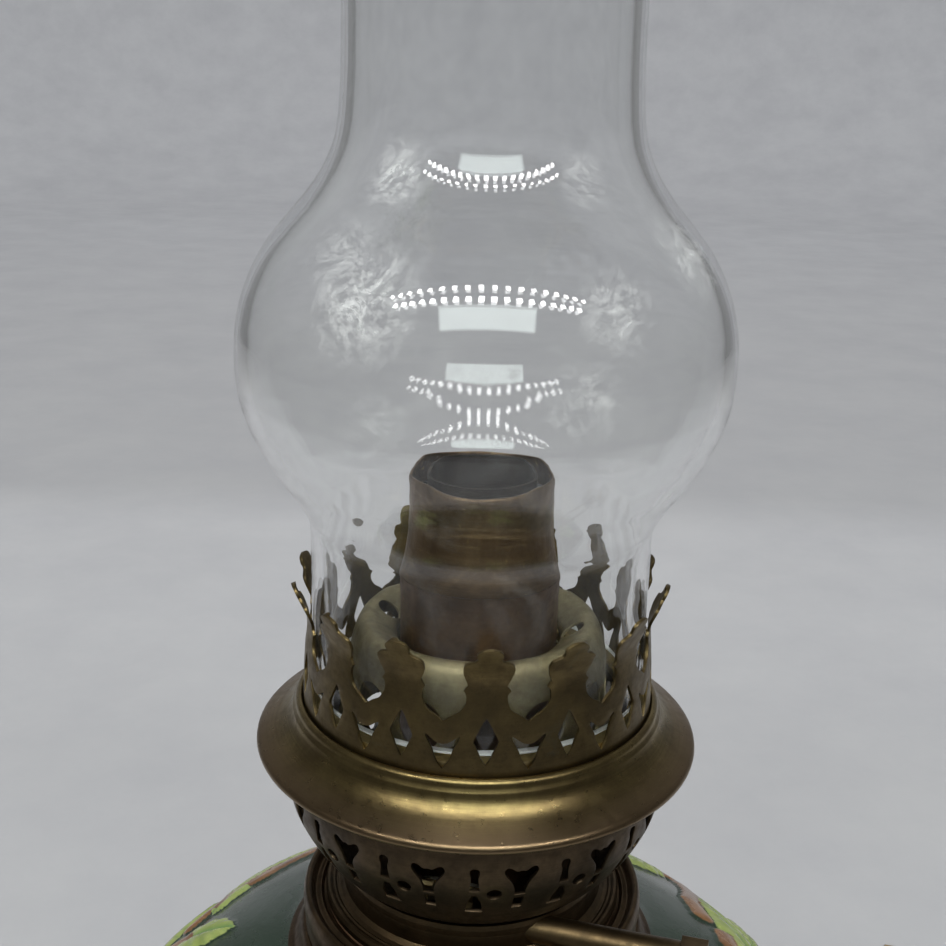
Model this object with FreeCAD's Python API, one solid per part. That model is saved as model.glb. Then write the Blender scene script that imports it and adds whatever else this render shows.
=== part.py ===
import FreeCAD, Part
import math
import os
from FreeCAD import Vector

# Oil lamp with a round-wick burner. Millimetres, +Z up, origin at the centre of
# the foot's underside. Heights "on the burner" are counted from the plane of the
# shade ring's outer edge, Z_RING above the table.

os.makedirs("parts", exist_ok=True)

# ---------------------------------------------------------------- driving sizes
Z_RING = 215.0            # height of the shade ring edge above the table
LAMP_FRONT = 0.0          # azimuth 0 is -Y, positive towards +X

# chimney
GLASS_FOOT_R = 26.4
GLASS_WALL = 1.9
GLASS_FOOT_Z = 9.46
GLASS_TOP_Z = 259.5
GLASS_TUBE_R = 21.1

# gallery
N_PRONG = 14
PITCH = 360.0 / N_PRONG
PRONG_AZ = 2.6
CROWN_SHEET = 0.45
RING_R = 35.5
SEAT_R_IN = 23.2

# air basket
BASKET_SHEET = 0.5
BASKET_AZ = 0.3

# wick tubes
TUBE_R = 12.5
TUBE_SHEET = 0.45
NOZZLE_RIM_R = 11.2
NOZZLE_TOP_Z = 43.3
DRAFT_R = 8.56
DRAFT_SHEET = 0.45
WICK_R_IN = 8.86
WICK_R_OUT = 10.45
WICK_TOP_Z = 40.3
WICK_BOTTOM_Z = -118.0
PORT_AZ = 252.0           # side air port of the draft tube

# winder
WIND_AZ = 75.0            # direction of the spindle
WIND_OFF = 15.0           # distance of the spindle line from the lamp axis
WIND_Z = -25.3
SPINDLE_R = 1.25
SPINDLE_CLEAR = 0.05
WHEEL_TIP_R = 4.35
WHEEL_ROOT_R = 3.7
WHEEL_TEETH = 12
KNOB_R = 7.2
KNOB_T0 = 64.5
KNOB_T1 = 70.5

# burner body, collar, font
POT_R = 21.8
THREAD_R = 20.6
COLLAR_BORE_R = 20.9
COLLAR_R = 28.6
FONT_R = 25.4
FONT_BOTTOM_Z = -135.0
FONT_SHEET = 0.7

# ceramic body
BODY_R = 79.4
BODY_H = 69.0             # vertical semi-axis
BODY_CZ = 110.8           # height of the widest line above the table
BODY_WALL = 6.0
BODY_Z_TOP = 174.4
BODY_Z_BOT = 50.0
NECK_R = 27.4

# foot
FOOT_R = 60.0
TIE_R = 2.5


# ---------------------------------------------------------------- helpers
def z(h):
    return Z_RING + h


def rev(pts, lift=0.0):
    """Solid of revolution about Z of a closed (r, z) outline."""
    vs = [Vector(r, 0, h + lift) for r, h in pts]
    vs.append(vs[0])
    f = Part.Face(Part.makePolygon(vs))
    s = f.revolve(Vector(0, 0, 0), Vector(0, 0, 1), 360)
    return s if s.Volume > 0 else s.reversed()


def spl(pts, lift=0.0):
    """Smooth curve through (r, z) points in the XZ half plane."""
    c = Part.BSplineCurve()
    c.interpolate([Vector(r, 0, h + lift) for r, h in pts])
    return c.toShape()


def line(a, b, lift=0.0):
    return Part.makeLine(Vector(a[0], 0, a[1] + lift), Vector(b[0], 0, b[1] + lift))


def rev_edges(edges):
    w = Part.Wire(Part.__sortEdges__(edges))
    s = Part.Face(w).revolve(Vector(0, 0, 0), Vector(0, 0, 1), 360)
    if s.Volume < 0:
        s.reverse()
    return s


def offset_pts(pts, d):
    """Points moved by d along the left-hand normal of the polyline."""
    out = []
    n = len(pts)
    for i in range(n):
        a = pts[max(0, i - 1)]
        b = pts[min(n - 1, i + 1)]
        tx, tz = b[0] - a[0], b[1] - a[1]
        L = math.hypot(tx, tz)
        out.append((pts[i][0] - tz / L * d, pts[i][1] + tx / L * d))
    return out


def sheet(pts, t, lift=0.0):
    """Sheet-metal wall of thickness t on the inner side of an upward outline."""
    inner = offset_pts(pts, t)
    return rev(pts + inner[::-1], lift)


def tube(r0, r1, z0, z1):
    return Part.makeCylinder(r1, z1 - z0, Vector(0, 0, z0)).cut(
        Part.makeCylinder(r0, z1 - z0 + 2, Vector(0, 0, z0 - 1)))


def radial(az):
    a = math.radians(az)
    return Vector(math.sin(a), -math.cos(a), 0)


def tangent(az):
    a = math.radians(az)
    return Vector(math.cos(a), math.sin(a), 0)


def lerp(x, xs, ys):
    if x <= xs[0]:
        return ys[0]
    for i in range(1, len(xs)):
        if x <= xs[i]:
            f = (x - xs[i - 1]) / (xs[i] - xs[i - 1])
            return ys[i - 1] + f * (ys[i] - ys[i - 1])
    return ys[-1]


def punch(outline, az, r0, r1, radius_at):
    """Radial cutter: outline in (degrees from az, height), between r0 and r1."""
    n, t = radial(az), tangent(az)
    vs = []
    for dg, h in outline:
        x = radius_at(h) * math.sin(math.radians(dg))
        vs.append(n * r0 + t * x + Vector(0, 0, z(h)))
    vs.append(vs[0])
    return Part.Face(Part.makePolygon(vs)).extrude(n * (r1 - r0))


def mirror_outline(half, bottom_first=True):
    """Closed outline from its right half, listed from bottom to top."""
    right = [(d, h) for d, h in half]
    left = [(-d, h) for d, h in half[::-1] if d > 1e-6]
    return right + left


def disc_outline(cx, cz, rd, rz, n=14):
    return [(cx + rd * math.cos(2 * math.pi * i / n),
             cz + rz * math.sin(2 * math.pi * i / n)) for i in range(n)]


def export(shape, name):
    solids = shape.Solids
    if len(solids) == 1:
        shape = solids[0]
    else:
        shape = Part.makeCompound(solids)
    bb = shape.BoundBox
    print("%-20s solids %d faces %d vol %.1f  z %.2f..%.2f r %.2f valid %s" % (
        name, len(solids), len(shape.Faces), shape.Volume, bb.ZMin, bb.ZMax,
        max(bb.XMax, bb.YMax), shape.isValid()))
    shape.exportStep("parts/%s.step" % name)


# ---------------------------------------------------------------- chimney glass
foot = [(GLASS_FOOT_R, 10.3), (GLASS_FOOT_R, 36.5)]
bulb = [(26.4, 36.5), (26.65, 37.3), (27.5, 39.3), (28.7, 41.4), (31.6, 45.5),
        (34.1, 49.7), (35.8, 53.8), (36.8, 58.0), (37.0, 62.1), (36.8, 66.2),
        (36.0, 70.4), (34.5, 74.5), (32.4, 78.7), (29.3, 82.8), (26.0, 86.9),
        (23.35, 91.1), (21.9, 95.2), (21.4, 99.4), (GLASS_TUBE_R, 106.0)]
bulb_in = offset_pts(bulb, GLASS_WALL)
bulb_in[0] = (GLASS_FOOT_R - GLASS_WALL, 37.0)
bulb_in[-1] = (GLASS_TUBE_R - GLASS_WALL, 106.0)
rim_r0 = GLASS_FOOT_R - GLASS_WALL
edges = [
    line(foot[0], foot[1], Z_RING),
    spl(bulb, Z_RING),
    line((GLASS_TUBE_R, 106.0), (GLASS_TUBE_R, GLASS_TOP_Z - 0.8), Z_RING),
    line((GLASS_TUBE_R, GLASS_TOP_Z - 0.8), (GLASS_TUBE_R - 0.6, GLASS_TOP_Z), Z_RING),
    line((GLASS_TUBE_R - 0.6, GLASS_TOP_Z), (GLASS_TUBE_R - GLASS_WALL + 0.5, GLASS_TOP_Z), Z_RING),
    line((GLASS_TUBE_R - GLASS_WALL + 0.5, GLASS_TOP_Z), (GLASS_TUBE_R - GLASS_WALL, GLASS_TOP_Z - 0.6), Z_RING),
    line((GLASS_TUBE_R - GLASS_WALL, GLASS_TOP_Z - 0.6), (GLASS_TUBE_R - GLASS_WALL, 106.0), Z_RING),
    spl(bulb_in[::-1], Z_RING),
    line((rim_r0, 37.0), (rim_r0, 10.1), Z_RING),
    line((rim_r0, 10.1), (rim_r0 + 0.6, GLASS_FOOT_Z), Z_RING),
    line((rim_r0 + 0.6, GLASS_FOOT_Z), (GLASS_FOOT_R - 0.7, GLASS_FOOT_Z), Z_RING),
    line((GLASS_FOOT_R - 0.7, GLASS_FOOT_Z), (GLASS_FOOT_R, 10.3), Z_RING),
]
export(rev_edges(edges), "chimney_glass")

# ---------------------------------------------------------------- gallery crown
# pierced band with club-shaped prongs that lean in at the neck and out at the tip
crown_r = [27.95, 27.9, 27.8, 27.5, 27.15, 27.2, 27.6, 28.3, 29.0, 29.45]
crown_h = [5.0, 9.0, 12.0, 16.5, 20.5, 21.4, 22.8, 24.6, 26.3, 27.55]
crown_out = list(zip(crown_r, crown_h))
crown_in = [(r - CROWN_SHEET, h) for r, h in crown_out]
crown = rev(crown_out + crown_in[::-1], Z_RING)


def crown_radius(h):
    return lerp(h, crown_h, crown_r) - CROWN_SHEET / 2


# space between two prongs: cusp at the bottom, bulb, small barbs, lobes
gap_half = [(0.0, 15.7), (0.8, 15.95), (1.7, 16.3), (2.7, 16.6), (3.8, 16.9),
            (4.9, 17.3), (5.8, 17.8), (6.45, 18.4), (6.75, 19.1), (6.7, 19.7),
            (6.35, 20.15), (5.75, 20.45), (6.15, 20.75), (6.8, 21.15), (6.7, 21.6),
            (6.25, 22.1), (5.75, 22.7), (5.45, 23.3), (5.35, 23.9), (5.5, 24.4),
            (6.0, 24.8), (7.0, 25.05), (8.3, 25.3), (9.1, 25.55), (9.35, 25.85),
            (9.15, 26.3), (9.3, 26.75), (9.9, 27.15), (11.0, 27.45), (11.6, 27.6),
            (11.7, 29.5)]
# kite under each prong and tulip between prongs
kite_half = [(0.0, 9.1), (0.7, 9.6), (1.4, 10.2), (2.2, 11.1), (3.0, 12.0),
             (3.55, 12.5), (3.65, 13.0), (3.1, 13.6), (2.2, 14.5), (1.2, 15.5),
             (0.5, 16.1), (0.0, 16.4)]
tulip_half = [(0.0, 8.25), (0.8, 8.75), (1.7, 9.4), (2.4, 10.1), (2.95, 11.0),
              (3.7, 11.8), (4.5, 12.5), (5.1, 13.1), (5.15, 13.5), (4.3, 13.3),
              (2.9, 12.75), (1.5, 12.35), (0.0, 12.2)]
cuts = []
for k in range(N_PRONG):
    a = PRONG_AZ + k * PITCH
    cuts.append(punch(mirror_outline(gap_half), a + PITCH / 2, 22, 34, crown_radius))
    cuts.append(punch(mirror_outline(kite_half), a, 22, 34, crown_radius))
    cuts.append(punch(mirror_outline(tulip_half), a + PITCH / 2, 22, 34, crown_radius))
crown = crown.cut(cuts)
export(crown, "gallery_crown")

# ---------------------------------------------------------------- gallery flange
# shade ring: rolled edge, cove, groove and bead; a short skirt laps the basket
ring_out = [(35.15, -0.55), (35.4, -0.35), (RING_R, 0.0), (35.42, 0.45), (35.1, 0.8),
            (34.6, 1.1), (33.8, 1.5), (32.9, 1.95), (32.0, 2.45), (31.2, 3.1),
            (30.55, 3.8), (30.1, 4.45), (29.8, 5.1), (29.62, 5.75), (29.3, 6.1),
            (29.25, 6.45), (29.1, 6.95), (28.75, 7.3), (28.35, 7.4), (28.02, 7.2)]
ring_in = [(28.02, 4.6), (28.6, 3.9), (29.0, 3.2), (29.6, 2.45), (30.4, 1.9),
           (30.4, 0.1), (31.0, 0.1), (31.0, -1.2), (31.45, -1.2), (31.45, 1.5),
           (32.3, 1.1), (33.3, 0.65), (34.2, 0.2), (34.7, -0.1), (34.8, -0.45)]
export(rev(ring_out + ring_in, Z_RING), "gallery_flange")

# seat ledge of the glass, soldered inside the crown
seat = [(SEAT_R_IN, 7.6), (SEAT_R_IN + 0.45, 7.6), (SEAT_R_IN + 0.45, 8.6), (26.9, 8.6),
        (26.9, 6.6), (27.4, 6.6), (27.4, 9.12), (23.5, 9.12), (SEAT_R_IN, 8.85)]
export(rev(seat, Z_RING), "gallery_seat")

# ---------------------------------------------------------------- air basket
basket_r = [21.0, 21.9, 24.2, 26.8, 29.0, 30.3, 30.7, 30.7, 30.62]
basket_h = [-22.55, -22.0, -20.0, -16.7, -13.0, -9.5, -6.0, -1.5, -0.25]
b_out = list(zip(basket_r, basket_h))
b_in = offset_pts(b_out, BASKET_SHEET)
b_in[0] = (20.7, -22.1)
b_in[-2] = (30.2, -1.5)
b_in[-1] = (30.2, -0.75)
ledge = [(30.62, -0.25), (26.0, -0.25), (26.0, -0.75), (30.2, -0.75)]
basket = rev(b_out[:-1] + ledge + b_in[:-1][::-1], Z_RING)


def basket_radius(h):
    return lerp(h, basket_h, basket_r) - BASKET_SHEET / 2


keyhole = [(1.45, -10.25), (1.3, -9.5), (1.05, -8.5), (1.05, -7.6), (1.35, -7.0),
           (1.35, -6.5), (0.9, -6.15), (0.0, -6.05)]
trefoil = [(1.65, -11.3), (1.5, -10.6), (1.75, -9.9), (2.3, -9.0), (3.4, -8.1),
           (4.3, -7.4), (4.7, -6.9), (4.6, -6.4), (4.0, -6.1), (3.0, -6.15),
           (2.0, -6.5), (1.2, -6.75), (0.0, -6.6)]
a_foot = [(2.7, -15.6), (2.3, -14.2), (2.0, -13.0), (1.2, -12.0), (0.8, -11.3)]
block = [(1.6, -14.6), (1.45, -12.0)]
cuts = []
for k in range(N_PRONG):
    a = BASKET_AZ + k * PITCH
    cuts.append(punch(mirror_outline(keyhole), a, 23, 34, basket_radius))
    cuts.append(punch(mirror_outline(a_foot), a, 16, 34, basket_radius))
    cuts.append(punch(mirror_outline(trefoil), a + PITCH / 2, 23, 34, basket_radius))
    cuts.append(punch(mirror_outline(block), a + PITCH / 2, 16, 34, basket_radius))
    cuts.append(punch(disc_outline(5.6, -11.0, 2.3, 1.1), a, 20, 34, basket_radius))
basket = basket.cut(cuts)
export(basket, "air_basket")

# ---------------------------------------------------------------- air diffuser
d_out = [(21.0, 0.4), (20.9, 4.0), (20.9, 9.3), (20.8, 12.4), (20.6, 14.5), (20.3, 16.3), (19.9, 17.8),
         (19.4, 19.1), (18.8, 20.0), (18.0, 20.5), (17.0, 20.35), (16.0, 19.75), (15.0, 19.1), (13.8, 18.3),
         (13.15, 17.7), (13.0, 16.9)]
# the wall rises, turns over at a rounded crest and dips inward to the wick tube
d_in = offset_pts(d_out, 0.4)
dome_prof = [(26.5, -0.2), (26.5, 0.25), (21.75, 0.25), (21.25, 0.75)] + d_out[1:] + \
    d_in[1:][::-1] + [(20.6, 0.35), (21.2, -0.2)]
dome_s = rev(dome_prof, Z_RING)
cuts = []
for k in range(N_PRONG):
    # large round air holes in the side wall, one behind each prong
    n = radial(2.3 + k * PITCH)
    cuts.append(Part.makeCylinder(3.5, 8, n * 16 + Vector(0, 0, z(10.4)), n))
for a in (-104.0, -8.0, 92.0, 172.0):
    # four small holes in the inward dip
    cuts.append(Part.makeCylinder(1.9, 6, radial(a) * 15.0 + Vector(0, 0, z(16.6))))
dome_s = dome_s.cut(cuts)
export(dome_s, "air_diffuser")

# ---------------------------------------------------------------- wick tubes
spin_dir = radial(WIND_AZ)
spin_pos = radial(WIND_AZ - 90.0) * WIND_OFF + Vector(0, 0, z(WIND_Z))


def spin_cyl(r, t0, t1):
    return Part.makeCylinder(r, t1 - t0, spin_pos + spin_dir * t0, spin_dir)


def port_box(w, r0, r1, h0, h1):
    b = Part.makeBox(r1 - r0, w, h1 - h0, Vector(r0, -w / 2, z(h0)))
    b.rotate(Vector(0, 0, 0), Vector(0, 0, 1), PORT_AZ - 90.0)
    return b


nozzle_out = [(11.95, 23.5), (11.95, 28.15), (TUBE_R, 28.25), (12.45, 28.9), (11.9, 31.4),
              (11.5, 33.4), (11.38, 36.0), (11.28, 40.0), (NOZZLE_RIM_R, NOZZLE_TOP_Z)]
nozzle_in = [(10.75, NOZZLE_TOP_Z), (10.78, 40.0), (10.85, 36.0), (11.0, 33.4),
             (11.4, 31.2), (11.5, 28.9), (11.5, 23.5)]
export(rev(nozzle_out + nozzle_in, Z_RING), "wick_tube_nozzle")

PORT_W, PORT_H0, PORT_H1 = 9.0, -18.0, -7.0
sleeve_out = [(14.4, -36.0), (13.2, -34.0), (TUBE_R, -32.0), (TUBE_R, 28.2)]
sleeve_in = [(12.03, 28.2), (12.03, -32.0), (12.75, -34.0), (13.95, -36.0)]
sleeve = rev(sleeve_out + sleeve_in, Z_RING)
sleeve = sleeve.cut(spin_cyl(WHEEL_TIP_R + 0.5, -5.6, 5.6))
sleeve = sleeve.cut(port_box(PORT_W, 9.0, 16.0, PORT_H0, PORT_H1))
export(sleeve, "wick_tube_sleeve")

draft = tube(DRAFT_R - DRAFT_SHEET, DRAFT_R, z(-21.5), z(NOZZLE_TOP_Z))
draft = draft.fuse(Part.makeCylinder(DRAFT_R - DRAFT_SHEET + 0.05, 0.5, Vector(0, 0, z(-21.5))))
draft = draft.cut(port_box(PORT_W, 4.0, 12.0, PORT_H0, PORT_H1)).removeSplitter()
export(draft, "draft_tube")

# rectangular sheet duct that carries air between the wick's edges
duct = port_box(PORT_W - 0.04, 7.4, 13.4, PORT_H0 + 0.02, PORT_H1 - 0.02)
duct = duct.cut(port_box(PORT_W - 0.9, 4.0, 16.0, PORT_H0 + 0.45, PORT_H1 - 0.45))
export(duct, "air_port_duct")

wick = tube(WICK_R_IN, WICK_R_OUT, z(WICK_BOTTOM_Z), z(WICK_TOP_Z))
wick = wick.cut(port_box(1.0, 4.0, 16.0, -10.0, WICK_TOP_Z + 1))
wick = wick.cut(port_box(PORT_W + 1.6, 4.0, 16.0, WICK_BOTTOM_Z - 1, 8.0))
export(wick, "wick")

# ---------------------------------------------------------------- burner body
pot = rev([(12.56, -23.2), (12.56, -22.6), (POT_R, -22.6), (POT_R + 0.15, -23.4), (POT_R, -24.5),
           (POT_R, -27.3), (22.4, -28.0), (23.0, -28.25), (23.3, -28.1), (23.6, -28.25),
           (24.1, -28.0), (24.5, -28.1), (24.8, -28.7), (24.8, -29.55), (20.3, -29.55), (20.3, -28.4),
           (21.3, -27.6), (21.3, -23.2)], Z_RING)
pot = pot.cut(spin_cyl(2.33, 8.0, 30.0))
wheel_slot = Part.makeBox(11.6, 9.4, 4.0, Vector(-5.8, -4.7, 0))
wheel_slot.rotate(Vector(0, 0, 0), Vector(0, 0, 1), WIND_AZ - 90.0)
wheel_slot.translate(Vector(spin_pos.x, spin_pos.y, z(-24.0)))
pot = pot.cut(wheel_slot)
export(pot, "burner_body")

thread = [(19.4, -29.6), (THREAD_R - 0.5, -29.6)]
h = -29.9
while h > -37.0:
    thread += [(THREAD_R - 0.5, h), (THREAD_R, h - 0.5), (THREAD_R, h - 0.8), (THREAD_R - 0.5, h - 1.3)]
    h -= 2.0
thread += [(THREAD_R - 0.5, -38.2), (19.4, -38.2)]
export(rev(thread, Z_RING), "burner_thread_ring")

export(rev([(20.95, -30.35), (24.6, -30.35), (24.7, -30.0), (24.6, -29.6), (20.95, -29.6)], Z_RING),
       "burner_seal")

# ---------------------------------------------------------------- winder
gland = spin_cyl(2.28, 15.0, 36.9).fuse(spin_cyl(2.9, 13.2, 14.8)).fuse(spin_cyl(2.28, 14.0, 16.0))
gland = gland.cut(spin_cyl(SPINDLE_R + SPINDLE_CLEAR, 10.0, 42.0))
# keep the inner shoulder inside the pot
gland = gland.cut(tube(21.2, 40.0, z(-30.0), z(-20.0)).common(spin_cyl(4.0, 12.0, 14.95).cut(spin_cyl(2.28, 11.0, 16.0))))
gland = gland.cut(Part.makeBox(60, 60, 4, Vector(-30, -30, z(-23.24))).common(spin_cyl(4.0, 12.0, 14.95).cut(spin_cyl(2.28, 11.0, 16.0))))
gland = gland.cut(pot)
export(gland.removeSplitter(), "winder_gland")


def hex_prism(af, t0, t1):
    r = af / math.sqrt(3)
    u = Vector(0, 0, 1)
    v = spin_dir.cross(u)
    pts = [spin_pos + spin_dir * t0 + u * (r * math.cos(math.radians(60 * i + 30))) +
           v * (r * math.sin(math.radians(60 * i + 30))) for i in range(6)]
    pts.append(pts[0])
    return Part.Face(Part.makePolygon(pts)).extrude(spin_dir * (t1 - t0))


nut = hex_prism(5.6, 37.0, 41.0).cut(spin_cyl(SPINDLE_R + SPINDLE_CLEAR, 20, 45))
nut = nut.common(spin_cyl(3.1, 36.0, 42.0))
export(nut, "gland_nut")

spindle = spin_cyl(SPINDLE_R, -12.6, KNOB_T0 + 4.0)
spindle = spindle.fuse(spin_cyl(1.9, KNOB_T0 - 0.9, KNOB_T0 - 0.1)).removeSplitter()
export(spindle, "winder_spindle")


def wheel(tc, w):
    u = Vector(0, 0, 1)
    v = spin_dir.cross(u)
    pts = []
    for i in range(WHEEL_TEETH):
        for da, rr in ((0.0, WHEEL_ROOT_R), (8.0, WHEEL_ROOT_R), (13.0, WHEEL_TIP_R), (17.0, WHEEL_TIP_R), (22.0, WHEEL_ROOT_R)):
            a = math.radians(i * 360.0 / WHEEL_TEETH + da)
            pts.append(spin_pos + spin_dir * (tc - w / 2) + u * (rr * math.cos(a)) + v * (rr * math.sin(a)))
    pts.append(pts[0])
    g = Part.Face(Part.makePolygon(pts)).extrude(spin_dir * w)
    return g.cut(spin_cyl(SPINDLE_R + 0.01, tc - w, tc + w))


export(Part.makeCompound([wheel(-3.6, 1.8), wheel(3.6, 1.8)]), "wick_wheels")

# inner bearing of the spindle: a small plate hanging from the pot's top
plate = Part.makeBox(1.2, 5.0, 4.6, Vector(-0.6, -2.5, 0))
plate.rotate(Vector(0, 0, 0), Vector(0, 0, 1), WIND_AZ - 90.0)
plate.translate(Vector(spin_pos.x, spin_pos.y, z(-27.85)) + spin_dir * (-10.6))
plate = plate.cut(spin_cyl(SPINDLE_R + SPINDLE_CLEAR, -20, 0))
plate = plate.cut(Part.makeCylinder(12.55, 30, Vector(0, 0, z(-40))))
export(plate, "spindle_bearing")

# knob: turned disc with a milled edge and a dished face
KNOB_FLUTES = 28
kn_prof = [(0.0, KNOB_T0 + 1.2), (2.6, KNOB_T0 + 1.2), (2.6, KNOB_T0), (3.4, KNOB_T0), (4.2, KNOB_T0 + 1.6),
           (KNOB_R - 1.4, KNOB_T0 + 1.9), (KNOB_R - 0.5, KNOB_T0 + 1.5), (KNOB_R, KNOB_T0 + 2.0), (KNOB_R, KNOB_T1 - 0.7),
           (KNOB_R - 0.5, KNOB_T1), (KNOB_R - 1.3, KNOB_T1 - 0.3), (KNOB_R - 2.0, KNOB_T1 - 1.3), (3.6, KNOB_T1 - 1.7), (2.6, KNOB_T1 - 0.7),
           (0.0, KNOB_T1 - 0.4)]
vs = [Vector(r, 0, t) for r, t in kn_prof]
vs.append(vs[0])
knob = Part.Face(Part.makePolygon(vs)).revolve(Vector(0, 0, 0), Vector(0, 0, 1), 360)
knob = knob.cut(Part.makeCylinder(SPINDLE_R + 0.01, 4.02, Vector(0, 0, KNOB_T0)))
flutes = []
for i in range(KNOB_FLUTES):
    a = 2 * math.pi * i / KNOB_FLUTES
    flutes.append(Part.makeCylinder(0.42, 8, Vector((KNOB_R + 0.12) * math.cos(a), (KNOB_R + 0.12) * math.sin(a), KNOB_T0)))
knob = knob.cut(flutes)
rot = FreeCAD.Rotation(Vector(0, 0, 1), spin_dir)
knob.Placement = FreeCAD.Placement(spin_pos, rot).multiply(knob.Placement)
export(knob, "winder_knob")

# ---------------------------------------------------------------- collar and font
collar = rev([(COLLAR_BORE_R, -30.4), (25.2, -30.4), (25.6, -29.6), (26.1, -29.9), (26.5, -30.1), (26.9, -29.6),
              (27.2, -28.9), (27.7, -28.55), (28.2, -28.8), (28.5, -29.6), (COLLAR_R, -30.9),
              (28.5, -32.2), (28.25, -33.2), (28.3, -34.6), (28.3, -35.3), (27.3, -35.3), (27.3, -32.2),
              (26.6, -31.4), (21.9, -31.4), (21.9, -39.35), (COLLAR_BORE_R, -39.35)], Z_RING)
export(collar, "font_collar")

font = rev([(21.95, -40.1), (21.95, -39.4), (24.6, -39.4), (25.2, -39.8), (FONT_R, -40.6), (FONT_R, -131.0),
            (24.6, -133.4), (22.6, -134.8), (20.0, FONT_BOTTOM_Z), (0.0, FONT_BOTTOM_Z), (0.0, -134.3),
            (20.0, -134.3), (22.2, -134.1), (24.0, -132.9), (FONT_R - FONT_SHEET, -130.8),
            (FONT_R - FONT_SHEET, -40.9), (24.4, -40.1)], Z_RING)
export(font, "font_reservoir")

# ---------------------------------------------------------------- ceramic body
def body_r(h, dr=0.0, dh=0.0):
    q = 1.0 - ((h - BODY_CZ) / (BODY_H + dh)) ** 2
    return (BODY_R + dr) * math.sqrt(max(q, 0.0))


zs = []
n = 30
a0 = math.asin((BODY_Z_BOT - BODY_CZ) / BODY_H)
a1 = math.asin((172.6 - BODY_CZ) / BODY_H)
outer = [(BODY_R * math.cos(a0 + (a1 - a0) * i / n), BODY_CZ + BODY_H * math.sin(a0 + (a1 - a0) * i / n)) for i in range(n + 1)]
b0 = math.asin((56.5 - BODY_CZ) / (BODY_H - BODY_WALL))
b1 = math.asin((169.0 - BODY_CZ) / (BODY_H - BODY_WALL))
inner = [((BODY_R - BODY_WALL) * math.cos(b0 + (b1 - b0) * i / n), BODY_CZ + (BODY_H - BODY_WALL) * math.sin(b0 + (b1 - b0) * i / n)) for i in range(n + 1)]
top_out = outer[-1]
top_in = inner[-1]
shell = [spl(outer),
         line(top_out, (31.0, BODY_Z_TOP - 0.9)),
         line((31.0, BODY_Z_TOP - 0.9), (30.0, BODY_Z_TOP)),
         line((30.0, BODY_Z_TOP), (NECK_R, BODY_Z_TOP)),
         line((NECK_R, BODY_Z_TOP), (NECK_R, 167.5)),
         line((NECK_R, 167.5), top_in),
         spl(inner[::-1]),
         line(inner[0], (TIE_R + 0.5, 56.5)),
         line((TIE_R + 0.5, 56.5), (TIE_R + 0.5, BODY_Z_BOT)),
         line((TIE_R + 0.5, BODY_Z_BOT), outer[0])]
print("top_out", top_out, "top_in", top_in, "bottom", outer[0], inner[0])
export(rev_edges(shell), "ceramic_body")

# neck mount cemented over the ceramic's mouth
mount = rev([(26.2, -35.65), (28.6, -35.65), (29.0, -36.1), (29.3, -37.4), (29.8, -38.8), (30.45, -39.9),
             (31.3, -40.35), (31.5, -40.55), (27.1, -40.55), (27.1, -46.0), (26.2, -46.0)], Z_RING)
export(mount, "mount_ring")

# ---------------------------------------------------------------- foot
# cup under the body
zb = BODY_Z_BOT
rb = outer[0][0]


def below_body(h, d):
    """radius of the body's skin at height h, moved out by d"""
    return body_r(h) + d


cup = [(3.2, zb - 1.3), (3.2, zb - 0.05), (rb - 0.6, zb - 0.05), (rb + 0.25, zb + 0.1),
       (below_body(zb + 1.5, 0.25), zb + 1.5), (below_body(zb + 3.0, 0.3), zb + 3.0), (below_body(zb + 4.6, 0.35), zb + 4.6),
       (below_body(zb + 4.6, 1.3), zb + 5.2), (below_body(zb + 4.6, 1.9), zb + 4.4), (below_body(zb + 2.6, 1.9), zb + 2.6),
       (below_body(zb + 1.0, 1.9), zb + 0.9), (rb + 0.8, zb - 0.9), (rb - 2.0, zb - 1.3)]
export(rev(cup), "base_cup")

foot_out = [(58.2, 0.0), (59.6, 0.25), (FOOT_R, 1.2), (59.8, 2.6), (58.9, 3.4), (57.6, 3.8),
            (57.0, 4.6), (56.6, 6.4), (55.2, 8.2), (52.6, 9.6), (49.0, 10.9), (45.4, 12.4),
            (43.6, 13.6), (43.3, 14.9), (41.6, 16.0), (38.2, 17.6), (34.4, 20.0), (31.2, 23.2),
            (28.8, 27.0), (27.4, 31.0), (27.0, 34.6), (27.9, 36.0), (28.6, 37.4), (27.9, 38.8), (27.4, 40.2),
            (28.6, 43.0), (30.6, 45.6), (33.2, 47.6), (35.0, zb - 1.35)]
foot_in = [(3.2, zb - 1.35), (3.2, zb - 2.6), (31.6, zb - 2.6), (29.6, 46.0), (27.4, 43.2), (26.3, 40.4), (26.4, 38.6),
           (27.2, 37.4), (26.5, 36.2), (25.8, 34.6), (26.2, 30.8), (27.7, 26.4), (30.3, 22.4),
           (33.7, 19.0), (37.7, 16.5), (41.2, 14.9), (42.1, 14.2), (42.4, 13.0), (44.8, 11.3),
           (48.6, 9.7), (52.0, 8.5), (54.3, 7.3), (55.5, 5.8), (56.0, 4.0), (56.0, 1.6), (56.4, 0.0)]
export(rev(foot_out + foot_in), "base_foot")

weight = rev([(3.2, 1.8), (55.6, 1.8), (55.6, 4.2), (54.8, 5.9), (53.4, 6.9),
              (48.0, 8.6), (42.0, 10.6), (3.2, 10.6)])
# pocket for the lower nut, open below
weight = weight.cut(Part.makeCylinder(9.9, 5.0, Vector(0, 0, 0.0)))
export(weight, "base_weight")

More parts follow.
